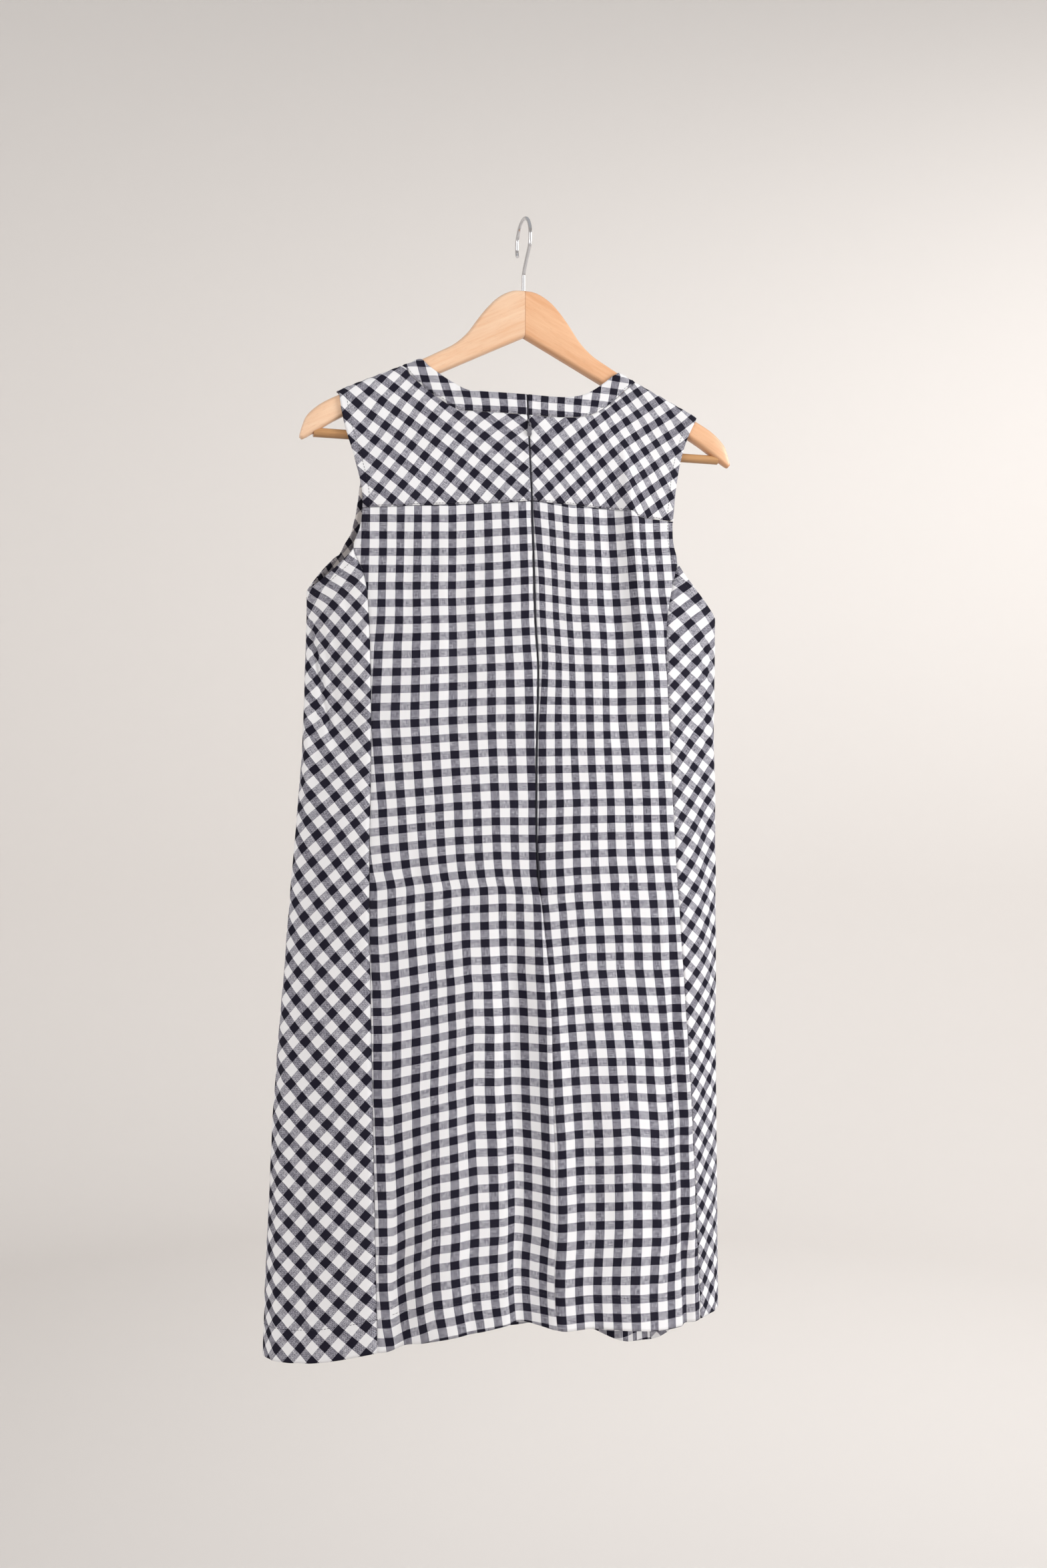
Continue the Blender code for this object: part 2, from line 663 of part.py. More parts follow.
def zip_slider():
    """A flat ear in the slit: its foot stands on the coil, and its eye holds the pull."""
    hinge, out, up = zip_frame()
    eye, rim = 0.00085, 0.0016
    head = SLIDER_TOP - PULL_AXIS
    profile = [(-PULL_STAND, head), (-PULL_STAND, -rim), (0.0, -rim)]
    profile += [(rim * math.sin(math.radians(turn)), -rim * math.cos(math.radians(turn)))
                for turn in range(20, 160, 20)]
    profile += [(0.0, rim), (-0.0016, 0.0030), (-0.0018, head)]
    mesh = bmesh.new()
    half = SLIDER_THICK / 2
    front = [mesh.verts.new(hinge + out * o + up * u + Vector((half, 0, 0))) for o, u in profile]
    back = [mesh.verts.new(hinge + out * o + up * u - Vector((half, 0, 0))) for o, u in profile]
    skin(mesh, [front, back], closed_across=True)
    mesh.faces.new(front[::-1])
    mesh.faces.new(back)
    slider = finish("zip_slider", mesh, "zip_metal")
    cutter_mesh = bmesh.new()
    bmesh.ops.create_cone(cutter_mesh, cap_ends=True, segments=12, radius1=eye, radius2=eye, depth=0.004,
                          matrix=Matrix.Translation(hinge) @ Matrix.Rotation(math.pi / 2, 4, "Y"))
    cutter = finish("eye_cutter", cutter_mesh, "zip_metal")
    cutter.hide_render = True
    cutter.display_type = "WIRE"
    cut = slider.modifiers.new("eye", "BOOLEAN")
    cut.operation = "DIFFERENCE"
    cut.solver = "EXACT"
    cut.object = cutter
    return slider


def zip_pull():
    """Teardrop tab. A window at its top leaves a bar, which lies in the slider's eye along X."""
    hinge = zip_frame()[0]
    bar, window_low, thick = 0.00040, 0.00215, 0.0007
    half_bar, window_half = 0.0016, 0.00085

    def half_width(down):
        """Half width of the teardrop at a distance under the hinge."""
        t = down / PULL_LENGTH
        return lerp(half_bar, 0.0021, ease(t / 0.7)) * math.sqrt(max(0.0, 1 - max(0.0, (t - 0.82) / 0.18) ** 2))
    levels = [-bar, bar, window_low] + [lerp(window_low, PULL_LENGTH * 0.985, t / 8) for t in range(1, 9)]
    mesh = bmesh.new()

    def corner(x, down, depth):
        return mesh.verts.new((x, depth, -down))
    sheets = []
    for depth in (-thick / 2, thick / 2):
        rows = []
        for down in levels:
            wide = half_width(max(0.0, down)) if down > bar else half_bar
            inner = window_half if down <= window_low else wide * 0.5
            rows.append([corner(x, down, depth) for x in (-wide, -inner, inner, wide)])
        sheets.append(rows)
    front, back = sheets
    for rows, flip in ((front, False), (back, True)):
        for j in range(len(rows) - 1):
            for i in range(3):
                if j == 1 and i == 1:
                    continue
                quad = [rows[j][i], rows[j][i + 1], rows[j + 1][i + 1], rows[j + 1][i]]
                mesh.faces.new(quad[::-1] if flip else quad)
    outline_front = front[0] + [row[-1] for row in front[1:]] + front[-1][-2::-1] + \
        [row[0] for row in front[-2:0:-1]]
    outline_back = back[0] + [row[-1] for row in back[1:]] + back[-1][-2::-1] + \
        [row[0] for row in back[-2:0:-1]]
    skin(mesh, [outline_front, outline_back], closed_across=True)
    hole_front = [front[1][1], front[1][2], front[2][2], front[2][1]]
    hole_back = [back[1][1], back[1][2], back[2][2], back[2][1]]
    skin(mesh, [hole_back, hole_front], closed_across=True)
    pull = finish("zip_pull", mesh, "zip_metal")
    pull.location = hinge
    return pull


# Hanger

def hanger_arm(side):
    """Half of the wooden hanger, flat-sided with rounded edges, through sections square to X."""
    stations = [0.00015, 0.010, 0.020, 0.030, 0.038, 0.046, 0.054, 0.062, 0.072, 0.086, 0.105, 0.135,
                0.165, 0.189, 0.201, 0.211, 0.2175, 0.2215, 0.2235]
    steps = 3
    mesh = bmesh.new()
    rings = []
    for reach in stations:
        top, low = (read(HANGER, "reach", column, reach) for column in ("top", "low"))
        half = WOOD_THICK / 2 * (1.0 if reach < 0.2 else lerp(1.0, 0.62, ((reach - 0.2) / 0.0235) ** 2))
        round_off = min(WOOD_ROUND, (top - low) * 0.48, half * 0.85)
        ring = []
        for quarter, (y, z) in enumerate(((1, top), (-1, top), (-1, low), (1, low))):
            lift = -1 if z == top else 1
            centre = (y * (half - round_off), z + lift * round_off)
            for k in range(steps + 1):
                angle = math.pi / 2 * (quarter + k / steps)
                ring.append(mesh.verts.new((side * reach, centre[0] + round_off * math.cos(angle),
                                            centre[1] + round_off * math.sin(angle))))
        rings.append(ring)
    skin(mesh, rings, closed_across=True)
    mesh.faces.new(rings[0][::-1])
    mesh.faces.new(rings[-1])
    return finish(f"hanger_arm_{side_name(side)}", mesh, "wood")


def hanger_hook():
    """Wire hook, turned square to the arms: a shank from the wood, then the loop over the rail."""
    radius = HOOK_INNER + WIRE_RADIUS
    shank_low = HANGER[0]["top"] + SEAM_GAP
    loop = []
    for k in range(23):
        angle = math.radians(lerp(HOOK_SHOULDER, HOOK_TIP, k / 22))
        loop.append(Vector((0, -radius * math.sin(angle), -HOOK_INNER + radius * math.cos(angle))))
    straight = [Vector((0, 0, z)) for z in (shank_low, -0.062, -0.055)]
    reach = 0.012            # how far each end of the bend keeps its own direction
    toward = (loop[0] - loop[1]).normalized()
    bend = []
    for k in range(1, 7):
        t = k / 7
        up = straight[-1] + Vector((0, 0, reach)) * t
        down = loop[0] + toward * reach * (1 - t)
        bend.append(up.lerp(down, ease(t)))
    return tube("hanger_hook", straight + bend + loop, WIRE_RADIUS, 8, "chrome")


def hanger_bar():
    """Dowel between the two tips."""
    path = [Vector((x, 0, BAR_HEIGHT)) for x in (-BAR_HALF, 0.0, BAR_HALF)]
    return tube("hanger_bar", path, BAR_RADIUS, 12, "bar_wood", Vector((0, 1, 0)))


def build():
    for obj in list(bpy.data.objects):
        bpy.data.objects.remove(obj, do_unlink=True)
    for side in (-1, 1):
        hanger_arm(side)
        back_yoke(side)
        back_panel(side)
        side_panel(side)
        back_band(side)
        armhole_facing(side)
    front_panel()
    front_band()
    hanger_bar()
    hanger_hook()
    zip_tape()
    zip_slider()
    zip_pull()


build()
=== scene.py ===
# Sleeveless gingham linen dress on a wooden hanger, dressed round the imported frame.
# Metres, +Z up, the dress's back towards -Y. A point of the dress is named by its turn round the body (0 at
# centre back, 1 at the right side, -1 at the left side, 2 at centre front) and by its height, unrolled over the
# shoulder.
import math

import bmesh
import bpy
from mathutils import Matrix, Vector, noise
from mathutils.bvhtree import BVHTree


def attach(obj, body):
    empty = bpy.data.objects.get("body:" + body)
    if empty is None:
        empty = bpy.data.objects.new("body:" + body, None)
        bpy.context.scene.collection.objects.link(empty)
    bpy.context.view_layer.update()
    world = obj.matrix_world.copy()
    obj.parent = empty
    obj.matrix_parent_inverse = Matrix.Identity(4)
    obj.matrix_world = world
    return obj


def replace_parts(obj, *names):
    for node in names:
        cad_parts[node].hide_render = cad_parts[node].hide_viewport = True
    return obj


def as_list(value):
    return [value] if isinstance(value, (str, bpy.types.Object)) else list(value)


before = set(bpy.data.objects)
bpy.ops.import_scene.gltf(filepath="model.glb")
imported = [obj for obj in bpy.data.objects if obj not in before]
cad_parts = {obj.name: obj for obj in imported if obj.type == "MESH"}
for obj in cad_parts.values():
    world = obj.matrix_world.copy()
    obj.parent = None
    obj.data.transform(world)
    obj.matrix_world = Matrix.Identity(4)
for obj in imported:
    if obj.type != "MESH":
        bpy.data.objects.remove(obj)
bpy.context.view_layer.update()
dressBody = "dress"
print("frame loaded", len(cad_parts))

# Sizes of the dress, as in the frame
seamGap = 0.0003
zipSlit = 0.0020
roll = 0.0084
bandWidth = 0.0205
facingWidth = 0.010
neckBack = -0.1755
neckFront = -0.228
neckReach = {"left": 0.1092, "right": 0.1039}
neckSpread = 0.85
shoulder = {"height": -0.1470, "slope": 0.5, "reach": 0.105, "lift": 0.0022, "endLift": 0.0050,
            "liftFrom": 0.10, "liftOver": 0.09}
yokeSeamHeight = -0.2830
yokeSeamDrop = {"left": 0.0145, "right": 0.0060}
yokeSeamBow = 0.8
yokeSeamStep = {"drop": 0.0055, "reach": 0.107, "over": 0.008}
zipEnd = -0.660
zipTaper = {"below": 0.012, "over": 0.010}
corner = -0.336
shoulderEnd = -0.178
hemMiddle = -1.10
fadeIn = 0.10
fadeOut = 0.08
# Where the cloth leaves the hanger's roll, and where its flat folds give way to those of the sides
fall = {"hold": 0.004, "over": 0.085, "sideFrom": 0.82, "sideOver": 0.15}
# Cloth
wall = 0.0010
check = 0.0175           # width of one repeat of the check across the straight grain
checkHeight = 0.0161     # and along it
bandCheckHeight = 0.0145
fine = 0.0032            # spacing of the cloth's points
uneven = {"wave": 0.0007, "waves": 21, "slub": 0.00035, "slubs": 62, "held": 0.35}


def table(columns, rows):
    return [dict(zip(columns, row)) for row in rows]


body = table(("height", "left", "right", "back", "front"), [
    (-0.1, 0.207, 0.205, 0.0085, 0.0085), (-0.176, 0.212, 0.207, 0.013, 0.013),
    (-0.23, 0.215, 0.208, 0.0205, 0.023), (-0.286, 0.216, 0.208, 0.028, 0.033),
    (-0.378, 0.217, 0.208, 0.037, 0.043), (-0.5, 0.22, 0.206, 0.047, 0.052), (-0.66, 0.233, 0.205, 0.061, 0.06),
    (-0.88, 0.25, 0.203, 0.086, 0.068), (-1.15, 0.262, 0.203, 0.111, 0.076),
])
centre = table(("height", "reach"), [
    (-0.4, 0), (-0.45, 0.0015), (-0.55, -0.0028), (-0.64, -0.0042), (-0.69, 0), (-0.75, 0.0035), (-0.86, 0.002),
    (-0.97, 0.0016), (-1.03, -0.002), (-1.08, 0),
])
backEdge = table(("height", "left", "right"), [
    (-0.178, 0.1885, 0.1875), (-0.212, 0.183, 0.1715), (-0.25, 0.173, 0.16), (-0.286, 0.1665, 0.154),
    (-0.315, 0.1692, 0.153), (-0.336, 0.1755, 0.157), (-0.362, 0.166, 0.15), (-0.4, 0.162, 0.143),
    (-0.5, 0.161, 0.143), (-0.66, 0.165, 0.149), (-0.88, 0.166, 0.159), (-1.15, 0.165, 0.167),
])
frontEdge = table(("height", "left", "right"), [
    (-0.178, 0.1885, 0.1875), (-0.212, 0.174, 0.165), (-0.25, 0.162, 0.152), (-0.286, 0.164, 0.147),
    (-0.315, 0.17, 0.15), (-0.336, 0.179, 0.156), (-0.38, 0.16, 0.15), (-0.5, 0.148, 0.146), (-0.88, 0.154, 0.15),
    (-1.15, 0.16, 0.154),
])
underarmHeight = {"left": -0.377, "right": -0.391}
underarmBow = {"front": 1.3, "back": 0.85}
neckCurve = table(("share", "left", "right", "front"), [
    (0, 0, 0, 0), (0.28, 0, 0, 0.01), (0.44, 0, 0.04, 0.04), (0.56, 0.015, 0.12, 0.12), (0.68, 0.19, 0.29, 0.28),
    (0.8, 0.41, 0.54, 0.51), (0.87, 0.56, 0.71, 0.67), (0.93, 0.7, 0.82, 0.81), (1.0, 1.0, 1.0, 1.0),
])
hemLine = table(("turn", "height"), [
    (-2.0, -1.126), (-1.7, -1.128), (-1.4, -1.122), (-1.0, -1.101), (-0.658, -1.094), (-0.434, -1.081),
    (-0.359, -1.0745), (-0.172, -1.0655), (-0.085, -1.062), (0, -1.07), (0.126, -1.075), (0.275, -1.082),
    (0.368, -1.088), (0.604, -1.091), (1.0, -1.096), (1.23, -1.118), (1.41, -1.145), (1.56, -1.143), (1.78, -1.122),
    (2.0, -1.126),
])

# Folds and creases: ridges (out above 0) and troughs, at a reach that drifts from their top to their low end
foldColumns = ("reachTop", "reachLow", "top", "low", "width", "out")
backFolds = table(foldColumns, [
    (0.074, 0.092, -0.225, -0.56, 0.013, -0.005), (0.102, 0.122, -0.205, -0.52, 0.012, 0.004),
    (-0.078, -0.082, -0.3, -0.52, 0.014, -0.0025), (-0.03, -0.028, -0.66, -1.2, 0.016, -0.01),
    (0.004, 0.006, -0.7, -1.2, 0.012, 0.004), (0.034, 0.04, -0.82, -1.2, 0.014, -0.004),
    (0.075, 0.085, -0.76, -1.2, 0.022, 0.004), (0.138, 0.148, -0.7, -1.2, 0.01, -0.004),
    (-0.135, -0.142, -0.88, -1.2, 0.012, -0.006), (-0.1, -0.105, -0.8, -1.2, 0.02, 0.003),
])
frontFolds = table(foldColumns, [
    (-0.08, -0.1, -0.42, -1.25, 0.026, -0.008), (-0.03, -0.04, -0.56, -1.25, 0.022, 0.005),
    (0.02, 0.03, -0.48, -1.25, 0.026, -0.006), (0.09, 0.112, -0.56, -1.25, 0.03, -0.036),
])
sideFolds = table(foldColumns, [
    (-0.76, -0.6, -0.385, -0.56, 0.06, -0.006), (-0.92, -0.84, -0.385, -0.6, 0.07, 0.004),
    (-1.2, -1.15, -0.43, -1.25, 0.12, -0.006), (0.84, 0.82, -0.48, -1.25, 0.06, 0.003),
    (1.22, 1.15, -0.43, -1.25, 0.12, -0.006),
])
# Finer creases, which only the shown cloth has
creaseIn = 0.045
creaseOut = 0.050
backCreases = table(foldColumns, [
    (0.0985, 0.113, -0.205, -0.42, 0.0042, 0.0025), (0.113, 0.125, -0.275, -0.47, 0.0035, -0.0017),
    (0.09, 0.098, -0.235, -0.47, 0.006, -0.0024), (-0.123, -0.125, -0.3, -0.43, 0.006, -0.001),
    (-0.088, -0.09, -0.3, -0.46, 0.0055, 0.0009), (-0.056, -0.058, -0.29, -0.4, 0.006, -0.0008),
    (0.03, 0.035, -0.29, -0.42, 0.006, 0.0008), (0.056, 0.062, -0.29, -0.4, 0.005, -0.0007),
    (-0.16, -0.11, -0.47, -0.64, 0.008, -0.0012), (-0.148, -0.1, -0.52, -0.69, 0.007, 0.001),
    (-0.13, -0.095, -0.6, -0.79, 0.008, -0.001), (0.14, 0.112, -0.5, -0.7, 0.008, -0.0011),
    (0.13, 0.105, -0.56, -0.76, 0.007, 0.0009), (0.09, 0.07, -0.56, -0.76, 0.009, 0.0009),
    (-0.05, -0.047, -0.76, -1.15, 0.006, 0.0016), (-0.012, -0.01, -0.78, -1.15, 0.006, -0.0014),
    (0.127, 0.138, -0.64, -1.15, 0.0042, 0.0018), (0.147, 0.158, -0.7, -1.15, 0.004, 0.0014),
    (0.136, 0.147, -0.76, -1.15, 0.0035, -0.0016), (-0.124, -0.129, -0.9, -1.15, 0.006, 0.0016),
    (-0.08, -0.084, -0.93, -1.15, 0.007, -0.0012), (0.056, 0.06, -0.9, -1.15, 0.006, -0.001),
    (0.1, 0.106, -0.94, -1.15, 0.006, -0.0012),
])
frontCreases = table(foldColumns, [
    (-0.12, -0.08, -0.4, -0.56, 0.008, -0.0016), (0.118, 0.085, -0.41, -0.58, 0.008, -0.0016),
    (-0.05, -0.062, -0.3, -0.52, 0.007, 0.0012), (0.048, 0.06, -0.29, -0.5, 0.007, -0.0012),
    (0.005, -0.003, -0.3, -0.6, 0.008, -0.001), (-0.13, -0.14, -0.64, -1.16, 0.01, 0.0024),
    (-0.062, -0.07, -0.76, -1.16, 0.009, -0.0022), (-0.005, -0.005, -0.7, -1.16, 0.009, 0.002),
    (0.05, 0.06, -0.72, -1.16, 0.009, 0.0024), (0.135, 0.148, -0.8, -1.16, 0.008, 0.0022),
    (0.1, 0.1, -0.26, -0.34, 0.006, 0.001), (-0.105, -0.105, -0.26, -0.35, 0.006, -0.001),
])
sideCreases = table(foldColumns, [
    (-0.91, -0.66, -0.388, -0.54, 0.016, -0.0048), (-0.8, -0.59, -0.38, -0.52, 0.016, 0.0022),
    (-0.72, -0.6, -0.365, -0.44, 0.018, 0.0012), (-0.66, -0.61, -0.35, -0.42, 0.014, -0.0012),
    (-0.9, -0.8, -0.46, -0.64, 0.03, 0.0014), (-0.78, -0.7, -0.62, -0.86, 0.026, -0.0012),
    (-0.86, -0.83, -0.8, -1.16, 0.03, 0.0016), (-0.72, -0.7, -0.9, -1.16, 0.026, -0.0014),
    (0.64, 0.61, -0.36, -0.46, 0.01, -0.0014), (0.7, 0.64, -0.372, -0.48, 0.012, 0.0014),
    (0.77, 0.67, -0.385, -0.5, 0.012, -0.0018), (0.84, 0.72, -0.395, -0.56, 0.024, -0.0016),
    (0.74, 0.74, -0.64, -1.16, 0.022, 0.0014), (0.9, 0.88, -0.7, -1.16, 0.026, -0.0016),
    (1.08, 1.02, -0.5, -0.8, 0.04, 0.0016), (-1.1, -1.04, -0.5, -0.8, 0.04, -0.0016),
    (1.3, 1.24, -0.64, -1.16, 0.04, 0.0022), (-1.32, -1.26, -0.64, -1.16, 0.04, 0.0022),
])

hangerForm = table(("reach", "top", "low"), [
    (0, -0.07, -0.1164), (0.01, -0.0706, -0.1213), (0.02, -0.0745, -0.1262), (0.0304, -0.0818, -0.1313),
    (0.0441, -0.0972, -0.138), (0.0578, -0.116, -0.1448), (0.0714, -0.1285, -0.1515), (0.088, -0.138, -0.1597),
    (0.105, -0.147, -0.1683), (0.14, -0.165, -0.1859), (0.165, -0.1773, -0.199), (0.189, -0.189, -0.212),
    (0.201, -0.1955, -0.2196), (0.211, -0.203, -0.2263), (0.218, -0.211, -0.2308), (0.222, -0.2215, -0.2325),
    (0.2235, -0.2275, -0.2305),
])

neckShares = [0.0, 0.20, 0.38, 0.52, 0.64, 0.74, 0.83, 0.92, 0.9467, 0.9733, 1.0]
shoulderShares = [0.25, 0.50, 0.75, 1.0]
frontNeckShares = [0.0, 0.20, 0.38, 0.52, 0.64, 0.74, 0.83, 0.90, 0.955, 0.97, 0.985, 1.0]
seamShares = [0.0, 0.09, 0.18, 0.27, 0.36, 0.44, 0.51, 0.57, 0.594, 0.67, 0.74, 0.81, 0.87, 0.915, 0.95, 0.975, 1.0]
yokeShares = [0.0, 0.15, 0.30, 0.45, 0.60, 0.73, 0.82, 0.875, 0.907, 0.938, 0.969, 1.0]
armholeShares = [0.12, 0.27, 0.42, 0.56, 0.68, 0.78, 0.86, 0.915, 0.936, 0.957, 0.979, 1.0]
backNeckPart = 0.62
frontNeckPart = 0.64
backSeamPart = 0.88
seamPart = 0.70


def lerp(a, b, t):
    return a + (b - a) * t


def ease(t):
    t = min(1.0, max(0.0, t))
    return t * t * (3 - 2 * t)


def read(rows, key, column, at):
    if rows[0][key] > rows[-1][key]:
        rows = rows[::-1]
    if at <= rows[0][key]:
        return rows[0][column]
    if at >= rows[-1][key]:
        return rows[-1][column]
    i = 0
    while rows[i + 1][key] <= at:
        i += 1
    here, there = rows[i], rows[i + 1]
    before, after = rows[max(0, i - 1)], rows[min(len(rows) - 1, i + 2)]
    span = there[key] - here[key]
    start = (there[column] - before[column]) / (there[key] - before[key]) * span
    end = (after[column] - here[column]) / (after[key] - here[key]) * span
    t = (at - here[key]) / span
    return ((2 * t ** 3 - 3 * t ** 2 + 1) * here[column] + (t ** 3 - 2 * t ** 2 + t) * start
            + (3 * t ** 2 - 2 * t ** 3) * there[column] + (t ** 3 - t ** 2) * end)


def sideName(place):
    return "left" if place < 0 else "right"


def ridge(x):
    reach = abs(x)
    rise = ease((reach - shoulder["liftFrom"]) / shoulder["liftOver"])
    lift = lerp(shoulder["lift"], shoulder["endLift"], rise)
    return shoulder["height"] - shoulder["slope"] * (reach - shoulder["reach"]) + lift


def ridgeFlat(x):
    return ridge(x) + roll * (math.pi / 2 - 1)


def folds(rows, place, height, growIn=fadeIn, growOut=fadeOut):
    out = 0.0
    for row in rows:
        if height > row["top"] or height < row["low"]:
            continue
        t = (row["top"] - height) / (row["top"] - row["low"])
        away = (place - lerp(row["reachTop"], row["reachLow"], t)) / row["width"]
        if abs(away) < 3:
            fade = ease((row["top"] - height) / growIn) * ease((height - row["low"]) / growOut)
            out += row["out"] * fade * math.exp(-away ** 2)
    return out


# Outer face of the cloth, with its creases and the unevenness of linen
def surface(turn, flat):
    if turn > 2:
        turn -= 4
    angle = turn * math.pi / 2
    half = read(body, "height", sideName(turn), flat)
    x = half * math.sin(angle)
    crest = ridge(x)
    bend = (flat - crest + roll) / roll
    height = flat if bend < 0 else crest - roll * (1 - math.sin(bend))
    front = abs(turn) > 1
    depth = read(body, "height", "front" if front else "back", height)
    full = depth * abs(math.cos(angle))
    hold = roll if height > corner + fall["hold"] else 0.0
    free = ease((crest - roll - height) / fall["over"])
    if bend > 0:
        out = roll * math.cos(bend)
    else:
        out = hold + (full - hold) * free if full > hold else hold
    flatPart = 1 - ease((abs(math.sin(angle)) - fall["sideFrom"]) / fall["sideOver"])
    near = folds(frontCreases if front else backCreases, x, height, creaseIn, creaseOut)
    out += (folds(frontFolds if front else backFolds, x, height) + near) * free * flatPart
    point = Vector((x, out if front else -out, height))
    stand = folds(sideFolds, turn, height) + folds(sideCreases, turn, height, creaseIn, creaseOut)
    rough = uneven["wave"] * noise.noise(point * uneven["waves"])
    rough += uneven["slub"] * noise.noise(point * uneven["slubs"])
    stand += rough * lerp(uneven["held"], 1.0, free)
    return point + stand * Vector((math.sin(angle) / half, -math.cos(angle) / depth, 0)).normalized()


def turnAt(x, flat, front=False):
    half = read(body, "height", sideName(x), flat)
    turn = math.asin(max(-1.0, min(1.0, x / half))) / (math.pi / 2)
    if front:
        return 2 - turn if x >= 0 else -2 - turn
    return turn


def zipHalf(flat):
    return lerp(seamGap, zipSlit, ease((flat - zipEnd + zipTaper["below"]) / zipTaper["over"])) / 2


def centreBack(side, flat):
    return turnAt(read(centre, "height", "reach", flat) + side * zipHalf(flat), flat), flat


def sideEdge(side, flat, front=False, shift=0.0):
    reach = read(frontEdge if front else backEdge, "height", sideName(side), flat) + shift
    return turnAt(side * reach, flat, front), flat


def neckEdge(side, share, front, below):
    reach = neckReach[sideName(side)] + below * neckSpread
    low = (neckFront if front else neckBack) - below
    rise = read(neckCurve, "share", "front" if front else sideName(side), share)
    flat = lerp(low, ridgeFlat(side * reach) - seamGap / 2, rise)
    x = side * max(share * reach, seamGap / 2 if front else zipHalf(flat))
    return turnAt(x, flat, front), flat


def yokeSeam(side, share, shift=0.0):
    reach = read(backEdge, "height", sideName(side), yokeSeamHeight)
    x = side * lerp(0.0, reach, share)
    step = yokeSeamStep["drop"] * ease((x - yokeSeamStep["reach"]) / yokeSeamStep["over"])
    drop = yokeSeamDrop[sideName(side)] * (abs(x) / reach) ** yokeSeamBow
    flat = yokeSeamHeight - drop - step + shift
    return turnAt(side * max(abs(x), zipHalf(flat)), flat), flat


def hem(turn):
    return read(hemLine, "turn", "height", turn)


def underarm(side, turn):
    front = abs(turn) > 1
    half = read(body, "height", sideName(side), corner)
    start = read(frontEdge if front else backEdge, "height", sideName(side), corner) / half
    share = (math.sin(abs(turn) * math.pi / 2) - start) / (1 - start)
    bow = underarmBow["front" if front else "back"]
    return lerp(corner, underarmHeight[sideName(side)], max(0.0, share) ** bow)


def patch(low, top, near, far, fade=1):
    def bow(edge, u, v, k):
        return edge(v)[k] - lerp(low(u)[k], top(u)[k], v) if 0 < v < 1 else 0.0

    def row(v):
        # What the near and far edges add is the same all along a row
        add = [(bow(near, 0.0, v, k), bow(far, 1.0, v, k)) for k in range(2)]

        def place(u):
            return [lerp(low(u)[k], top(u)[k], v) + add[k][0] * (1 - u) ** fade + add[k][1] * u ** fade
                    for k in range(2)]
        return place
    return row


# Shares with each interval divided evenly, so that none is longer than a step on an edge of this length
def finer(shares, length, step=fine):
    made = [shares[0]]
    for a, b in zip(shares, shares[1:]):
        count = max(1, math.ceil((b - a) * length / step))
        made += [lerp(a, b, (k + 1) / count) for k in range(count)]
    return made


# Materials

# Short calls for building one material's nodes
class Shader:
    def __init__(self, name, roughness, metallic=0.0, **sockets):
        self.material = bpy.data.materials.new(name)
        self.material.use_nodes = True
        self.nodes, self.links = self.material.node_tree.nodes, self.material.node_tree.links
        self.surface = self.nodes["Principled BSDF"]
        self.surface.inputs["Roughness"].default_value = roughness
        self.surface.inputs["Metallic"].default_value = metallic
        for socket, value in sockets.items():
            self.surface.inputs[socket.replace("_", " ")].default_value = value

    def put(self, value, socket):
        if hasattr(value, "is_output"):
            self.links.new(value, socket)
        else:
            socket.default_value = value

    def math(self, operation, a, b=0.0, c=0.0):
        made = self.nodes.new("ShaderNodeMath")
        made.operation = operation
        for value, socket in zip((a, b, c), made.inputs):
            self.put(value, socket)
        return made.outputs[0]

    def coords(self, kind):
        if kind == "UV":
            made = self.nodes.new("ShaderNodeUVMap")
            made.uv_map = "UVMap"
            return made.outputs[0]
        return self.nodes.new("ShaderNodeTexCoord").outputs[kind]

    def scaled(self, vector, scale, turn=(0, 0, 0)):
        made = self.nodes.new("ShaderNodeMapping")
        made.inputs["Scale"].default_value = scale
        made.inputs["Rotation"].default_value = turn
        self.links.new(vector, made.inputs["Vector"])
        return made.outputs[0]

    def noise(self, vector, scale, detail=2.0, roughness=0.5):
        made = self.nodes.new("ShaderNodeTexNoise")
        made.inputs["Scale"].default_value = scale
        made.inputs["Detail"].default_value = detail
        made.inputs["Roughness"].default_value = roughness
        self.links.new(vector, made.inputs["Vector"])
        return made.outputs["Fac"]

    def mix(self, factor, a, b, blend="MIX"):
        made = self.nodes.new("ShaderNodeMix")
        made.data_type = "RGBA"
        made.blend_type = blend
        self.put(factor, made.inputs["Factor"])
        self.put((*a, 1) if isinstance(a, tuple) else a, made.inputs["A"])
        self.put((*b, 1) if isinstance(b, tuple) else b, made.inputs["B"])
        return made.outputs["Result"]

    def ramp(self, factor, stops):
        made = self.nodes.new("ShaderNodeValToRGB")
        marks = made.color_ramp.elements
        while len(marks) > 1:
            marks.remove(marks[-1])
        marks[0].position = stops[0][0]
        marks[0].color = (*stops[0][1], 1)
        for at, colour in stops[1:]:
            marks.new(at).color = (*colour, 1)
        self.links.new(factor, made.inputs[0])
        return made.outputs[0]

    def split(self, vector):
        made = self.nodes.new("ShaderNodeSeparateXYZ")
        self.links.new(vector, made.inputs[0])
        return made.outputs

    def bump(self, height, distance, strength=1.0, under=None):
        made = self.nodes.new("ShaderNodeBump")
        made.inputs["Strength"].default_value = strength
        made.inputs["Distance"].default_value = distance
        self.links.new(height, made.inputs["Height"])
        if under is not None:
            self.links.new(under, made.inputs["Normal"])
        return made.outputs[0]

    def finish(self, colour, normal=None, roughness=None):
        self.put((*colour, 1) if isinstance(colour, tuple) else colour, self.surface.inputs["Base Color"])
        if normal is not None:
            self.links.new(normal, self.surface.inputs["Normal"])
        if roughness is not None:
            self.links.new(roughness, self.surface.inputs["Roughness"])
        return self.material


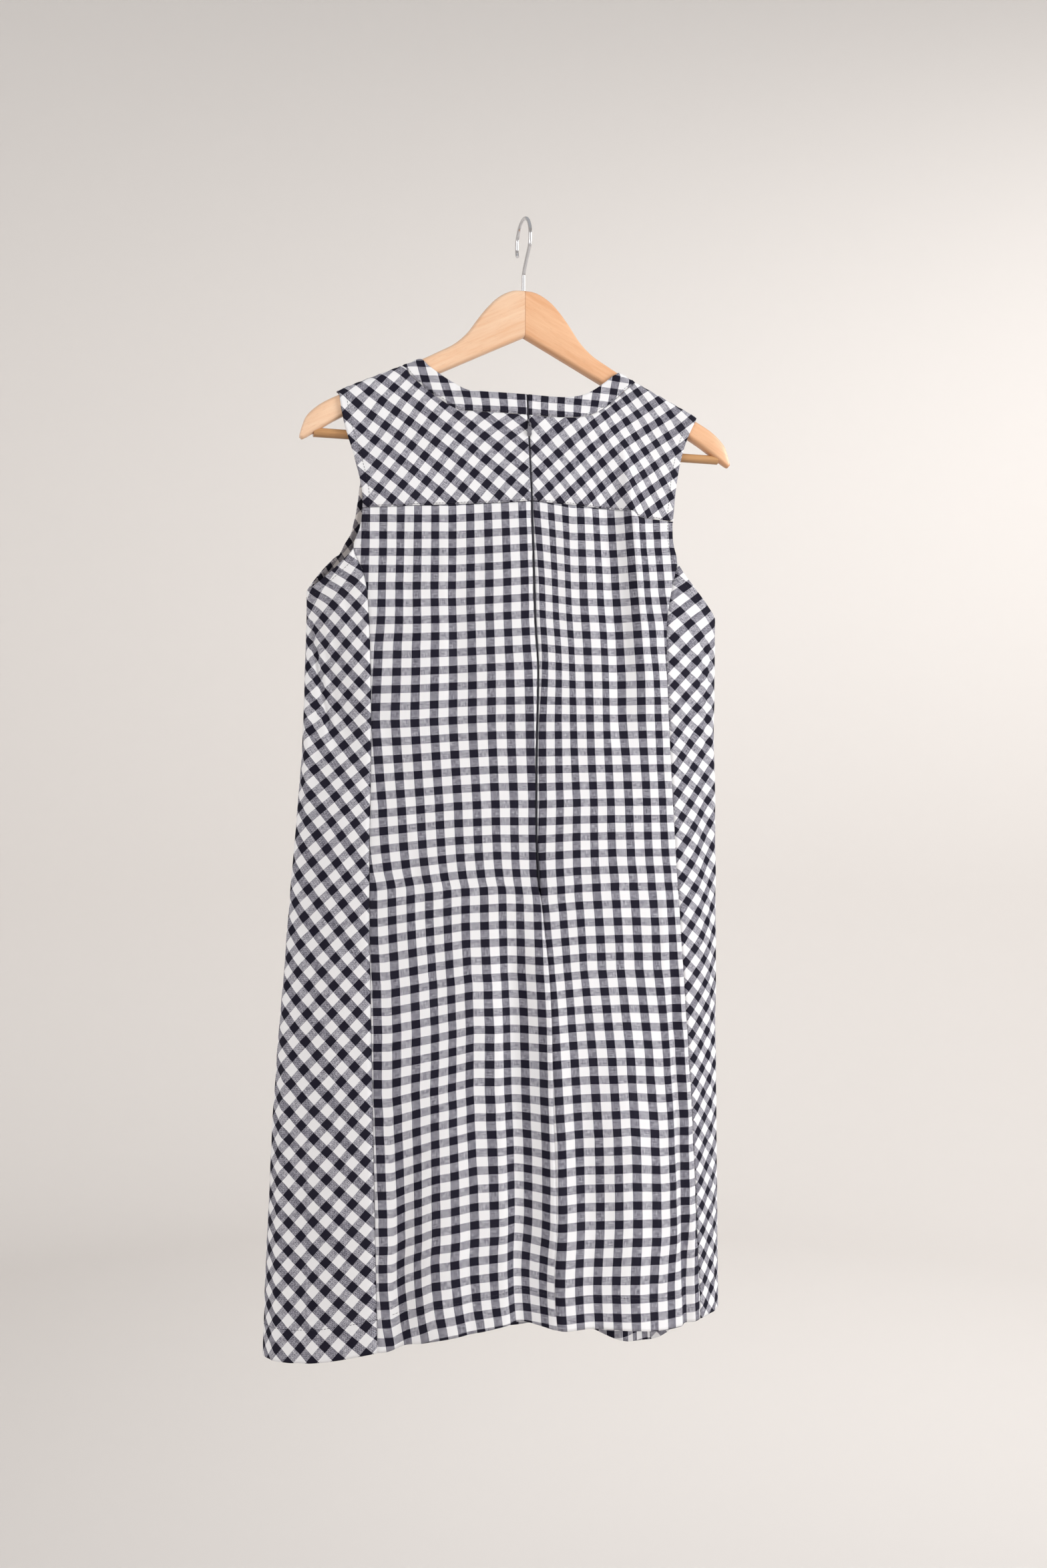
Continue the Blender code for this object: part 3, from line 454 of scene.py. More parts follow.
linenLook = {
    "threads": 28,               # threads in one repeat of the check
    "darkThreads": 13,
    "navy": (0.0075, 0.0060, 0.0160),
    "mixed": (0.410, 0.398, 0.475),
    "white": (0.93, 0.92, 0.93),
    "slub": 0.30,                # how strongly thick and thin threads show in the mixed squares
    "warpShows": 0.245,          # how much more than half of a mixed square the navy covers, each way
    "weftShows": 0.09,
    "crinkle": 0.00050,
    "weaveRelief": 0.00012,
}


# Plain weave of navy and white threads: every thread keeps its colour, over and under by turns
def linen(name, paintedShade):
    look = linenLook
    made = Shader(name, 0.92, Specular_IOR_Level=0.14)
    uv = made.coords("UV")
    place = made.split(uv)
    repeats = [made.math("DIVIDE", place[k], check) for k in range(2)]
    count = [made.math("MULTIPLY", repeat, look["threads"]) for repeat in repeats]
    index = [made.math("FLOOR", value) for value in count]
    dark = []
    for value in index:
        rest = made.math("FLOORED_MODULO", value, look["threads"])
        dark.append(made.math("LESS_THAN", rest, look["darkThreads"] - 0.5))
    over = made.math("FLOORED_MODULO", made.math("ADD", index[0], index[1]), 2)
    # Slubs run along each thread, so their noise is long in that direction and short across it
    slubs = [made.noise(made.scaled(uv, scale), 1.0, 2.0, 0.6) for scale in ((1700, 150, 1), (150, 1700, 1))]
    drift = made.math("SUBTRACT", slubs[0], slubs[1])
    above = made.math("MULTIPLY_ADD", drift, look["slub"] * 4, made.math("MULTIPLY_ADD", over, 0.5, 0.25))
    above.node.use_clamp = True
    shows = [made.math("ADD", above, look["warpShows"]),
             made.math("SUBTRACT", 1.0 + look["weftShows"], above)]
    ink = made.math("ADD", made.math("MULTIPLY", dark[0], shows[0]), made.math("MULTIPLY", dark[1], shows[1]))
    ink.node.use_clamp = True
    # paintedShade multiplies the thread colours: painted shade wherever it is below 1
    tones = [tuple(c * s for c, s in zip(look[key], paintedShade)) for key in ("white", "mixed", "navy")]
    cloud = made.noise(made.coords("Object"), 38.0, 3.0)
    colour = made.mix(made.math("MULTIPLY", cloud, 0.05), made.ramp(ink, list(zip((0.0, 0.55, 1.0), tones))),
                      tuple(0.72 * c for c in look["mixed"]))
    rounds = [made.math("ABSOLUTE", made.math("SINE", made.math("MULTIPLY", value, math.pi))) for value in count]
    relief = made.math("ADD", made.math("MULTIPLY", rounds[0], above),
                       made.math("MULTIPLY", rounds[1], made.math("SUBTRACT", 1.0, above)))
    crinkle = made.noise(made.coords("Object"), 95.0, 4.0, 0.55)
    normal = made.bump(crinkle, look["crinkle"], 0.8)
    normal = made.bump(relief, look["weaveRelief"], 0.6, normal)
    return made.finish(colour, normal)


# Varnished beech: long grain lines along the slope, short flecks and perhaps a knot
def wood(name, pale, deep, stretch, slope=0.0, knot=None):
    made = Shader(name, 0.38, Coat_Weight=0.35, Coat_Roughness=0.22)
    place = made.scaled(made.coords("Object"), (1, 1, 1), (0, math.radians(slope), 0))
    grain = made.noise(made.scaled(place, stretch), 1.0, 5.0, 0.62)
    wave = made.noise(made.scaled(place, tuple(0.22 * s for s in stretch)), 1.0, 2.0)
    fleck = made.noise(made.scaled(place, tuple(4.5 * s for s in stretch)), 1.0, 1.0)
    tone = made.math("ADD", made.math("MULTIPLY", grain, 0.55), made.math("MULTIPLY", wave, 0.45))
    colour = made.ramp(tone, [(0.34, deep), (0.50, tuple(lerp(d, p, 0.6) for d, p in zip(deep, pale))), (0.64, pale)])
    colour = made.mix(made.math("MULTIPLY", made.math("GREATER_THAN", fleck, 0.66), 0.22), colour,
                      tuple(0.72 * c for c in deep))
    if knot is not None:
        away = made.nodes.new("ShaderNodeVectorMath")
        away.operation = "DISTANCE"
        away.inputs[1].default_value = knot
        made.links.new(place, away.inputs[0])
        near = made.ramp(made.math("MULTIPLY", away.outputs["Value"], 90.0),
                         [(0.10, (1, 1, 1)), (0.30, (0.35, 0.35, 0.35)), (0.60, (0, 0, 0))])
        colour = made.mix(made.math("MULTIPLY", near, 0.35), colour, tuple(0.62 * c for c in deep))
    # Painted shade: the wood is darker on its undersides, where the normal points down
    below = made.math("MULTIPLY", made.split(made.coords("Normal"))[2], -0.55)
    below.node.use_clamp = True
    colour = made.mix(below, colour, tuple(0.55 * c for c in deep))
    normal = made.bump(grain, 0.00010, 0.5)
    rough = made.ramp(grain, [(0.3, (0.46,) * 3), (0.7, (0.33,) * 3)])
    return made.finish(colour, normal, rough)


# Metal with faint marks of handling
def metal(name, colour, roughness, metallic=1.0):
    made = Shader(name, roughness, metallic)
    marks = made.noise(made.coords("Object"), 420.0, 3.0)
    rough = made.ramp(marks, [(0.35, (roughness * 0.75,) * 3), (0.70, (roughness * 1.5,) * 3)])
    tint = made.mix(marks, colour, tuple(0.86 * c for c in colour))
    return made.finish(tint, made.bump(marks, 0.00002, 0.4), rough)


def yarn(name, colour):
    made = Shader(name, 0.85, Sheen_Weight=0.05)
    ply = made.noise(made.coords("Object"), 1800.0, 2.0)
    return made.finish(made.mix(ply, tuple(0.7 * c for c in colour), colour), made.bump(ply, 0.00008, 0.6))


looks = {
    "linen": linen("linen", (1.0, 1.0, 1.0)),
    # The facings' linen: the same cloth with its colours darkened and warmed, painted shade for the inside of the
    # dress
    "linenInShade": linen("linenInShade", (0.86, 0.80, 0.75)),
    # The arms are one wood: the left arm's paler tones are painted light, the right arm's darker, more orange tones
    # painted shade, for their different angles to the light
    "woodLeft": wood("woodLeft", (0.96, 0.67, 0.46), (0.86, 0.50, 0.29), (26, 150, 300), 26),
    "woodRight": wood("woodRight", (0.93, 0.56, 0.33), (0.80, 0.40, 0.20), (24, 150, 280), -26,
                      (0.205, -0.006, -0.095)),
    "barWood": wood("barWood", (0.66, 0.36, 0.155), (0.43, 0.205, 0.075), (22, 420, 420)),
    "chrome": metal("chrome", (0.78, 0.78, 0.80), 0.12),
    "zipMetal": metal("zipMetal", (0.30, 0.30, 0.34), 0.34, 0.75),
    "tape": yarn("tape", (0.013, 0.012, 0.022)),
    "coil": yarn("coil", (0.010, 0.010, 0.017)),
    "darkThread": yarn("darkThread", (0.018, 0.017, 0.032)),
}
print("materials", len(looks))


# Mesh helpers

def addObject(name, mesh, look):
    data = bpy.data.meshes.new(name)
    mesh.to_mesh(data)
    mesh.free()
    data.shade_smooth()
    data.materials.append(looks[look])
    obj = bpy.data.objects.new(name, data)
    bpy.context.scene.collection.objects.link(obj)
    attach(obj, dressBody)
    return obj


# At a seam the cloth dips and puckers beside it. At a fold its thickness steps down, with ripples and the groove
# of the stitches over the step.
edgeForm = {"dip": 0.0007, "dipWidth": 0.0020, "pucker": 0.00030, "puckers": 560, "puckerAt": 0.004,
            "turned": 0.0065, "hem": 0.0300, "step": 0.0015, "ripple": 0.00042, "ripples": 420,
            "rippleWidth": 0.004, "groove": 0.00025, "grooveWidth": 0.0012}


# A grid laid over a patch and given its thickness. grain turns a place (distance across and height) into the
# place on the check, and start is the share of the columns where across begins, or None on a strip that turns
# under the arm. edges names what is at the near, far, low and top edge: "seam" dips to the next piece, "turned"
# and "hem" are folded.
def clothPiece(name, row, columns, rows, grain, edges, look="linen", inset=0.0, thickness=wall, start=0.0):
    across, along = len(columns), len(rows)
    first = 0 if start is None else min(range(across), key=lambda i: abs(columns[i] - start))
    places = []
    for v in rows:
        place = row(v)
        places.append([place(u) for u in columns])
    points = [[surface(turn, flat) for turn, flat in line] for line in places]
    i, j = across // 2, along // 2
    outward = (points[j - 1][i] - points[j + 1][i]).cross(points[j][i + 1] - points[j][i - 1])
    sign = 1 if outward.dot(faceOut(*places[j][i])) > 0 else -1
    # Distances along both ways of the grid
    over = []
    for line in points:
        run = [0.0]
        for a, b in zip(line, line[1:]):
            run.append(run[-1] + math.hypot(b.x - a.x, b.y - a.y))
        over.append(run)
    up = [[0.0] * across]
    for lower, upper in zip(points, points[1:]):
        up.append([up[-1][i] + (upper[i] - lower[i]).length for i in range(across)])
    mesh = bmesh.new()
    layer = mesh.loops.layers.uv.new("UVMap")
    weight = mesh.verts.layers.deform.verify()
    bmesh.ops.create_grid(mesh, x_segments=across - 1, y_segments=along - 1, size=1.0, calc_uvs=True)
    mesh.verts.index_update()
    spots, threads = {}, {}
    for vert in mesh.verts:
        i = round((vert.co.x + 1) / 2 * (across - 1))
        j = round((vert.co.y + 1) / 2 * (along - 1))
        spots[vert.index] = (i, j)
        left, right = points[j][max(i - 1, 0)], points[j][min(i + 1, across - 1)]
        below, above = points[max(j - 1, 0)][i], points[min(j + 1, along - 1)][i]
        out = (below - above).cross(right - left).normalized() * sign
        far = {"near": over[j][i], "far": over[j][-1] - over[j][i], "low": up[j][i], "top": up[-1][i] - up[j][i]}
        beside = {"near": up[j][i], "far": up[j][i], "low": over[j][i], "top": over[j][i]}
        move, thick = -inset, 1.0
        for edge, kind in edges.items():
            away, run = far[edge], beside[edge]
            if kind == "seam":
                wave = math.sin(run * edgeForm["puckers"] + 2.5 * noise.noise(Vector((run * 40, 3, 1))))
                move -= edgeForm["dip"] * math.exp(-(away / edgeForm["dipWidth"]) ** 2)
                near = (away - edgeForm["puckerAt"]) / edgeForm["puckerAt"]
                move += edgeForm["pucker"] * wave * math.exp(-near ** 2)
            else:
                past = away - edgeForm[kind]
                thick += 0.5 * (1 - ease(past / edgeForm["step"]))
                wave = math.sin(run * edgeForm["ripples"] + 3 * noise.noise(Vector((run * 30, 7, 2))))
                move += edgeForm["ripple"] * wave * math.exp(-(past / edgeForm["rippleWidth"]) ** 2)
                move -= edgeForm["groove"] * math.exp(-(past / edgeForm["grooveWidth"]) ** 2)
        vert.co = points[j][i] + out * move
        vert[weight][0] = thick / 1.5
        if start is None:
            distance = abs(points[j][i].x) - points[j][i].y
        else:
            distance = over[j][i] - over[j][first]
        threads[i, j] = grain(distance, places[j][i][1])
    for face in mesh.faces:
        for loop in face.loops:
            i, j = spots[loop.vert.index]
            loop[layer].uv = threads[i, j]
    if sign < 0:
        bmesh.ops.reverse_faces(mesh, faces=mesh.faces)
    obj = addObject(name, mesh, look)
    obj.vertex_groups.new(name="thickness")
    solid = obj.modifiers.new("thickness", "SOLIDIFY")
    solid.thickness = thickness * 1.5
    solid.offset = -1
    solid.vertex_group = "thickness"
    solid.use_rim = True
    return obj


# How far the hanging cloth has carried its check across and upwards, in millimetres, at a few places
hangs = {
    "backYoke left": {
        "across": (0, 0.05, 0.1, 0.16),
        "heights": (-0.19, -0.225, -0.26, -0.3),
        "over": [(-9, -1.5, -0.5, -3.5), (-2.5, -1, -3, -8.5), (0, -2, -5, -10.5), (1.5, -1.5, -6.5, -13.5)],
        "up": [(-1, -3, -7, -20.5), (1.5, -3.5, -12, -24.5), (1, -7, -16.5, -28), (-2.5, -12.5, -21, -31)],
    },
    "backYoke right": {
        "across": (0, 0.05, 0.1, 0.16),
        "heights": (-0.19, -0.225, -0.26, -0.3),
        "over": [(-3.5, 2, -1, -5), (-1, -3.5, -8, -12.5), (2, -5, -11.5, -19), (1.5, -6.5, -16, -26.5)],
        "up": [(8, 2.5, -5.5, -19.5), (1.5, -3.5, -9.5, -22.5), (0, -7, -14, -27), (-3.5, -11, -19.5, -31)],
    },
    "backPanel left": {
        "across": (0, 0.04, 0.08, 0.12, 0.16),
        "heights": (-0.29, -0.36, -0.43, -0.5, -0.58, -0.66, -0.74, -0.82, -0.9, -1, -1.09),
        "over": [(1.5, 1.5, 1.5, -0.5, -3), (1, 1.5, 3.5, 2.5, 0.5), (2, 3.5, 5.5, 6.5, 7), (-1.5, 1.5, 4, 5.5, 8),
            (-5, -3, -1.5, -0.5, 0.5), (-4, -4.5, -3.5, -3.5, -3), (1.5, 2, 5.5, 3.5, 4), (1, 2, 7.5, 4.5, 5.5),
            (0.5, 1, 6.5, 6, 4), (3, 2, 4, 6.5, 4), (5, 1, -3, -2.5, -3.5)],
        "up": [(1.5, -2.5, -7, -8.5, -9.5), (0.5, -4, -7.5, -9, -10), (-2, -5, -8, -10.5, -11.5),
            (-5.5, -6.5, -9, -12, -13.5), (-8.5, -8.5, -10.5, -14, -17.5), (-11, -9.5, -11.5, -16, -21.5),
            (-14, -11.5, -11, -17, -24), (-14.5, -12.5, -10, -18, -25), (-17, -11.5, -10, -17, -29.5),
            (-19, -10, -11.5, -15.5, -32), (-13, -8.5, -12.5, -18.5, -33.5)],
    },
    "backPanel right": {
        "across": (0, 0.04, 0.08, 0.12, 0.16),
        "heights": (-0.29, -0.36, -0.43, -0.5, -0.58, -0.66, -0.74, -0.82, -0.9, -1, -1.09),
        "over": [(-2, -9, -10, -10, -9.5), (2.5, -9.5, -6.5, -5, -4), (2, -9, -5, -1.5, 0.5),
            (-1.5, -5.5, -3, 2.5, 5), (-0.5, -0.5, 1, 7, 10), (-3.5, -3, 1.5, 8.5, 14), (-4.5, -5.5, -0.5, 7, 15.5),
            (-2.5, 1, 5.5, 15, 22.5), (0, 6.5, 9, 20.5, 27.5), (-1.5, 6, 8.5, 21, 27.5), (-2.5, 4, 6, 16.5, 26)],
        "up": [(2, -2.5, -1, 2.5, 6.5), (1, -3.5, -2, 1, 4), (-1.5, -4, -3.5, -1, 1), (-6, -5.5, -5, -4, -3),
            (-9, -7.5, -7, -7, -7), (-12, -9.5, -9, -10, -11), (-13.5, -11.5, -12.5, -15, -16),
            (-13.5, -13.5, -15.5, -20, -22), (-16, -17, -17.5, -25, -27), (-19.5, -23, -24.5, -30.5, -32.5),
            (-22.5, -26.5, -31.5, -37, -39.5)],
    },
    "sidePanel left": {
        "across": (0, 0.04, 0.08, 0.12),
        "heights": (-0.36, -0.42, -0.5, -0.6, -0.72, -0.86, -1.09),
        "over": [(-34.5, -45, -58.5, -74.5), (-31.5, -40.5, -51.5, -57.5), (-35, -36.5, -37, -37),
            (-18, -21.5, -21, -16), (0.5, -2, -2.5, 4), (11, 8.5, 9.5, 15), (13.5, 15.5, 16, 18.5)],
        "up": [(-15.5, -14.5, -11.5, -7), (-12.5, -12.5, -8, -3.5), (-9.5, -8, -4, -2), (-5.5, -3.5, -2, -4),
            (-4, -4.5, -5.5, -8.5), (-0.5, -5, -8.5, -13), (6.5, -2, -9, -14.5)],
    },
    "sidePanel right": {
        "across": (0, 0.03, 0.06),
        "heights": (-0.36, -0.42, -0.5, -0.6, -0.72, -0.86, -1.09),
        "over": [(-24, -20, -19.5), (-26.5, -22.5, -18.5), (-25.5, -23, -14.5), (-10.5, -7, -6.5), (6.5, 11, 6.5),
            (11, 11.5, 13.5), (13.5, 15.5, 19)],
        "up": [(-23, -16.5, -13.5), (-23.5, -21, -18.5), (-18, -16.5, -14.5), (-14.5, -11, -7), (-8, -7.5, -2.5),
            (0, -0.5, 0.5), (8, 6, 4)],
    },
    "neckBand left": {
        "across": (0, 0.04, 0.08, 0.12),
        "heights": (-0.15, -0.17, -0.19),
        "over": [(1, 4, 12.5, 15), (0, 3, 7, 9.5), (-0.5, 1, 1, 4)],
        "up": [(0, -1, -2, -3), (0, -0.5, -2, -4), (1, 0, -0.5, -2)],
    },
    "neckBand right": {
        "across": (0, 0.04, 0.08, 0.12),
        "heights": (-0.15, -0.17, -0.19),
        "over": [(1, 2.5, 7, 10.5), (1, 1, 4, 5), (0, -1, -0.5, 0.5)],
        "up": [(0, 0, 0, -3.5), (0, 0, 0, -1), (0, 0, 0, 0)],
    },
    "frontPanel": {
        "across": (-0.2, -0.1, 0, 0.1, 0.2),
        "heights": (-0.2, -0.5, -0.8, -1.13),
        "over": [(2, 0, 0, 0, -2), (-3, 0, 2, 0, 3), (0, -4, -1, 3, 0), (4, -3, 2, -4, 3)],
        "up": [(-8, 0, 2, 0, -7), (-12, -3, 0, -4, -10), (-14, -6, -3, -7, -16), (-12, -9, -4, -6, -14)],
    },
}
darkMiddle = linenLook["darkThreads"] / linenLook["threads"] / 2 * check


def mark(marks, at):
    way = 1 if marks[-1] > marks[0] else -1
    for i in range(len(marks) - 2, -1, -1):
        if way * at >= way * marks[i] or i == 0:
            return i, min(1.0, max(0.0, (at - marks[i]) / (marks[i + 1] - marks[i])))


def carried(hang, across, flat):
    if hang is None:
        return across, flat
    (i, s), (j, t) = mark(hangs[hang]["across"], across), mark(hangs[hang]["heights"], flat)
    moves = []
    for rows in (hangs[hang]["over"], hangs[hang]["up"]):
        moves.append(lerp(lerp(rows[j][i], rows[j][i + 1], s), lerp(rows[j + 1][i], rows[j + 1][i + 1], s), t))
    return across - moves[0] / 1000, flat - moves[1] / 1000


# Check on the straight grain, with the centre of a dark square at these two places
def straight(phaseAcross, phaseUp, high=checkHeight, hang=None):
    def grain(across, flat):
        across, flat = carried(hang, across, flat)
        return across - phaseAcross + darkMiddle, (flat - phaseUp) * check / high + darkMiddle
    return grain


# Check on the bias, its diagonals so wide and high, with a dark square's centre at this place
def bias(centreAcross, centreUp, wide, high, hang=None):
    def grain(across, flat):
        across, flat = carried(hang, across, flat)
        a, b = (across - centreAcross) / wide, (flat - centreUp) / high
        return check * (a - b) + darkMiddle, check * (a + b) + darkMiddle
    return grain


# Pieces of the dress

def shoulderPlace(side, share, front):
    start = neckEdge(side, 1.0, front, bandWidth + seamGap / 2)[0]
    turn = lerp(start, sideEdge(side, shoulderEnd, front)[0], share)
    half = read(body, "height", sideName(turn if turn <= 2 else turn - 4), shoulderEnd)
    return turn, ridgeFlat(half * math.sin(turn * math.pi / 2)) - seamGap / 2


def upperEdge(side, share, front, neckPart):
    if share <= neckPart + 1e-9:
        return neckEdge(side, min(1.0, share / neckPart), front, bandWidth + seamGap / 2)
    return shoulderPlace(side, (share - neckPart) / (1 - neckPart), front)


def upperShares(neckPart, shares=neckShares):
    return [share * neckPart for share in shares] + [lerp(neckPart, 1.0, share) for share in shoulderShares]


def princess(side, front, share):
    return lerp(hem(sideEdge(side, hemMiddle, front)[0]), corner, share)


def alongCentre(side, low, top):
    return lambda v: centreBack(side, lerp(low(0.0)[1], top(0.0)[1], v))


def between(low, top, u):
    return lambda v: tuple(lerp(a, b, v) for a, b in zip(low(u), top(u)))


def backYoke(side):
    def low(u):
        return yokeSeam(side, u, seamGap / 2)

    def top(u):
        return upperEdge(side, u, False, backNeckPart)

    def far(v):
        return sideEdge(side, lerp(low(1.0)[1], top(1.0)[1], v))
    return patch(low, top, alongCentre(side, low, top), far)


def panelShares():
    return [share * backSeamPart for share in seamShares] + [lerp(backSeamPart, 1.0, t) for t in (0.4, 0.7, 1.0)]


def backPanel(side):
    def far(v):
        if v <= backSeamPart:
            return sideEdge(side, princess(side, False, v / backSeamPart), shift=-seamGap / 2)
        flat = lerp(corner, yokeSeam(side, 1.0, -seamGap / 2)[1], (v - backSeamPart) / (1 - backSeamPart))
        return sideEdge(side, flat, shift=-seamGap / 2)

    def low(u):
        turn = lerp(centreBack(side, hem(0.0))[0], far(0.0)[0], u)
        return turn, lerp(hem(turn), far(0.0)[1], u ** 8)

    def top(u):
        return yokeSeam(side, u, -seamGap / 2)
    return patch(low, top, alongCentre(side, low, top), far)


def sidePlace(side):
    def seam(front):
        return lambda v: sideEdge(side, princess(side, front, v), front, seamGap / 2)
    near, far = seam(False), seam(True)

    def low(u):
        turn = lerp(near(0.0)[0], far(0.0)[0], u)
        return turn, hem(turn)

    def top(u):
        turn = lerp(near(1.0)[0], far(1.0)[0], u)
        return turn, underarm(side, turn)
    return patch(low, top, near, far)


def frontSide(side, v):
    if v <= seamPart:
        return sideEdge(side, princess(side, True, v / seamPart), True, -seamGap / 2)
    flat = lerp(corner, shoulderPlace(side, 1.0, True)[1], (v - seamPart) / (1 - seamPart))
    return sideEdge(side, flat, True, -seamGap / 2 if v < 1 else 0.0)


# The front runs on round the body from right to left
def onward(side, place):
    return place[0] if side > 0 else place[0] + 4, place[1]


def joined(edge):
    def place(u):
        side = 1 if u < 0.5 else -1
        return onward(side, edge(side, abs(u - 0.5) * 2))
    return place


def mirrored(shares):
    return [(1 - share) / 2 for share in shares[::-1]] + [(1 + share) / 2 for share in shares[1:]]


def frontPanel():
    def hemEdge(side, share):
        turn = lerp(2.0 * side, frontSide(side, 0.0)[0], share)
        return turn, hem(turn)

    def end(side):
        return lambda v: onward(side, frontSide(side, v))
    return patch(joined(hemEdge), joined(lambda side, share: upperEdge(side, share, True, frontNeckPart)),
                 end(1), end(-1), 6)


def backBand(side):
    def low(u):
        return neckEdge(side, u, False, bandWidth - seamGap / 2)

    def top(u):
        return neckEdge(side, u, False, 0.0)
    return patch(low, top, alongCentre(side, low, top), between(low, top, 1.0))


def frontBand():
    low = joined(lambda side, share: neckEdge(side, share, True, bandWidth - seamGap / 2))
    top = joined(lambda side, share: neckEdge(side, share, True, 0.0))
    return patch(low, top, between(low, top, 0.0), between(low, top, 1.0))


# Bias strip on the inner face of the front armhole, between its edge and the line inside that
def facing(side):
    edge = [frontSide(side, lerp(seamPart, 1.0, t)) for t in finer(armholeShares[:5], 0.16)[::-1]]
    shape = sidePlace(side)(1.0)
    cornerAt, underSteps = len(edge), 24
    edge += [shape(lerp(1.0, 0.5, (k + 1) / underSteps)) for k in range(underSteps)]
    inner = [inward(edge, k, facingWidth, side, k >= cornerAt) for k in range(len(edge))]

    def row(v):
        def place(u):
            k = u * (len(edge) - 1)
            i = min(int(k), len(edge) - 2)
            start, end = ([lerp(edge[j][n], inner[j][n], v) for n in range(2)] for j in (i, i + 1))
            return [lerp(start[n], end[n], k - i) for n in range(2)]
        return place
    return row, len(edge)


def faceOut(turn, flat, aside=0.004, along=0.001):
    across = surface(turn + aside, flat) - surface(turn - aside, flat)
    down = surface(turn, flat - along) - surface(turn, flat + along)
    return down.cross(across).normalized()


# Place so far inside an armhole's edge, square to it at its k-th point. under is on the underarm part.
def inward(edge, k, distance, side, under, aside=0.01):
    turn, flat = edge[k]
    point = surface(turn, flat)
    ahead = surface(*edge[min(k + 1, len(edge) - 1)]) - surface(*edge[max(k - 1, 0)])
    into = faceOut(turn, flat).cross(ahead).normalized()
    if not under and into.x * side > 0 or under and into.z > 0:
        into.negate()
    around = (surface(turn + aside, flat) - point) / aside
    level = Vector((into.x, into.y, 0)).dot(around) / around.length_squared
    return turn + level * distance, flat + into.z * distance


seams = dict.fromkeys(("near", "far", "low", "top"), "seam")
sheets = {}
panelRows = finer(panelShares(), 0.80)
seamRows = finer(seamShares, 0.78)
yokeRows = finer(yokeShares, 0.12)
bandRows = finer([0.0, 0.5, 1.0], bandWidth, 0.0022)
for side in (-1, 1):
    which = sideName(side)
    sheets["backYoke", which] = clothPiece(
        "backYoke" + which.title(), backYoke(side), finer(upperShares(backNeckPart), 0.21), yokeRows,
        bias(0.0075, -0.251, 0.0256, 0.0218, "backYoke left") if side < 0 else
        bias(0.0054, -0.2538, 0.0256, 0.0222, "backYoke right"),
        dict(seams, near="turned", far="turned"))
    sheets["backPanel", which] = clothPiece(
        "backPanel" + which.title(), backPanel(side), finer(upperShares(backNeckPart), 0.175), panelRows,
        straight(0.0078 if side < 0 else 0.0062, -0.2981, hang="backPanel " + which),
        dict(seams, low="hem"))
    sheets["sidePanel", which] = clothPiece(
        "sidePanel" + which.title(), sidePlace(side), finer([k / 16 for k in range(17)], 0.20), seamRows,
        bias(0.0210, -0.378, 0.0247, 0.0253, "sidePanel " + which),
        dict(seams, low="hem", top="turned"))
    sheets["neckBandBack", which] = clothPiece(
        "neckBandBack" + which.title(), backBand(side), finer(neckShares, 0.15), bandRows,
        straight(0.0056 if side < 0 else -0.0007, -0.1788, bandCheckHeight, "neckBand " + which),
        dict(seams, near="turned", top="turned"))
sheets["frontPanel"] = clothPiece(
    "frontPanel", frontPanel(), finer(mirrored(upperShares(frontNeckPart, frontNeckShares)), 0.40),
    finer([share * seamPart for share in seamShares] + [lerp(seamPart, 1.0, t) for t in armholeShares], 0.98),
    straight(0.003, -0.300, hang="frontPanel"), dict(seams, low="hem"), start=0.5)
sheets["neckBandFront"] = clothPiece(
    "neckBandFront", frontBand(), finer(mirrored(frontNeckShares), 0.32), bandRows,
    straight(0.004, -0.233, bandCheckHeight), dict(seams, top="turned"), start=0.5)
for side in (-1, 1):
    which = sideName(side)
    row, count = facing(side)
    # The facings use the linen with painted shade
    sheets["facing", which] = clothPiece(
        "armholeFacing" + which.title(), row, [k / (count - 1) for k in range(count)], [0, 0.25, 0.5, 0.75, 1.0],
        bias(0.003, -0.30, 0.0247, 0.0247), {}, "linenInShade", 0.0018, 0.0009, start=None)
nodeOf = {"backYoke": "back_yoke", "backPanel": "back_panel", "sidePanel": "side_panel",
          "neckBandBack": "neck_band_back", "facing": "armhole_facing"}
for key, obj in sheets.items():
    if isinstance(key, tuple):
        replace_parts(obj, nodeOf[key[0]] + "_" + key[1])
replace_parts(sheets["frontPanel"], "front_panel")
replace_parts(sheets["neckBandFront"], "neck_band_front")
print("cloth", len(sheets))


# Stitches

# A closed skin over rings of points. every is how many rings make one solid where it is a row of them.
def tubeOf(name, rings, look, every=0):
    around, step = len(rings[0]), 2 / (len(rings) - 1)
    mesh = bmesh.new()
    bmesh.ops.create_grid(mesh, x_segments=around, y_segments=len(rings) - 1, size=1.0)
    if every:
        between = [face for face in mesh.faces
                   if round((face.calc_center_median().y + 1) / step - 0.5) % every == every - 1]
        bmesh.ops.delete(mesh, geom=between, context="FACES")
    for vert in mesh.verts:
        vert.co = rings[round((vert.co.y + 1) / step)][round((vert.co.x + 1) / 2 * around) % around]
    bmesh.ops.remove_doubles(mesh, verts=mesh.verts, dist=0.000001)
    bmesh.ops.holes_fill(mesh, edges=[edge for edge in mesh.edges if edge.is_boundary], sides=0)
    bmesh.ops.recalc_face_normals(mesh, faces=mesh.faces)
    obj = addObject(name, mesh, look)
    obj.data.set_sharp_from_angle(angle=math.radians(50))
    return obj


# Rings of one short rounded solid, lying along a direction with this side of it up
def bead(where, ahead, out, length, width, height, sides=6):
    across = out.cross(ahead)
    rings = []
    for along, share in ((-1, 0), (-0.62, 0.82), (0.62, 0.82), (1, 0)):
        middle = where + ahead * along * length / 2
        rings.append([middle + share * (width / 2 * math.cos(angle) * across + height * math.sin(angle) * out)
                      for angle in [2 * math.pi * k / sides for k in range(sides)]])
    return rings


# yoke and band are how far their rows lie from the seam, and armholeTop is where the armholes' rows start
stitch = {"length": 0.0023, "pitch": 0.0031, "width": 0.00052, "height": 0.00036, "yoke": 0.0017, "band": 0.0019,
          "armholeTop": -0.186}
faces = {}


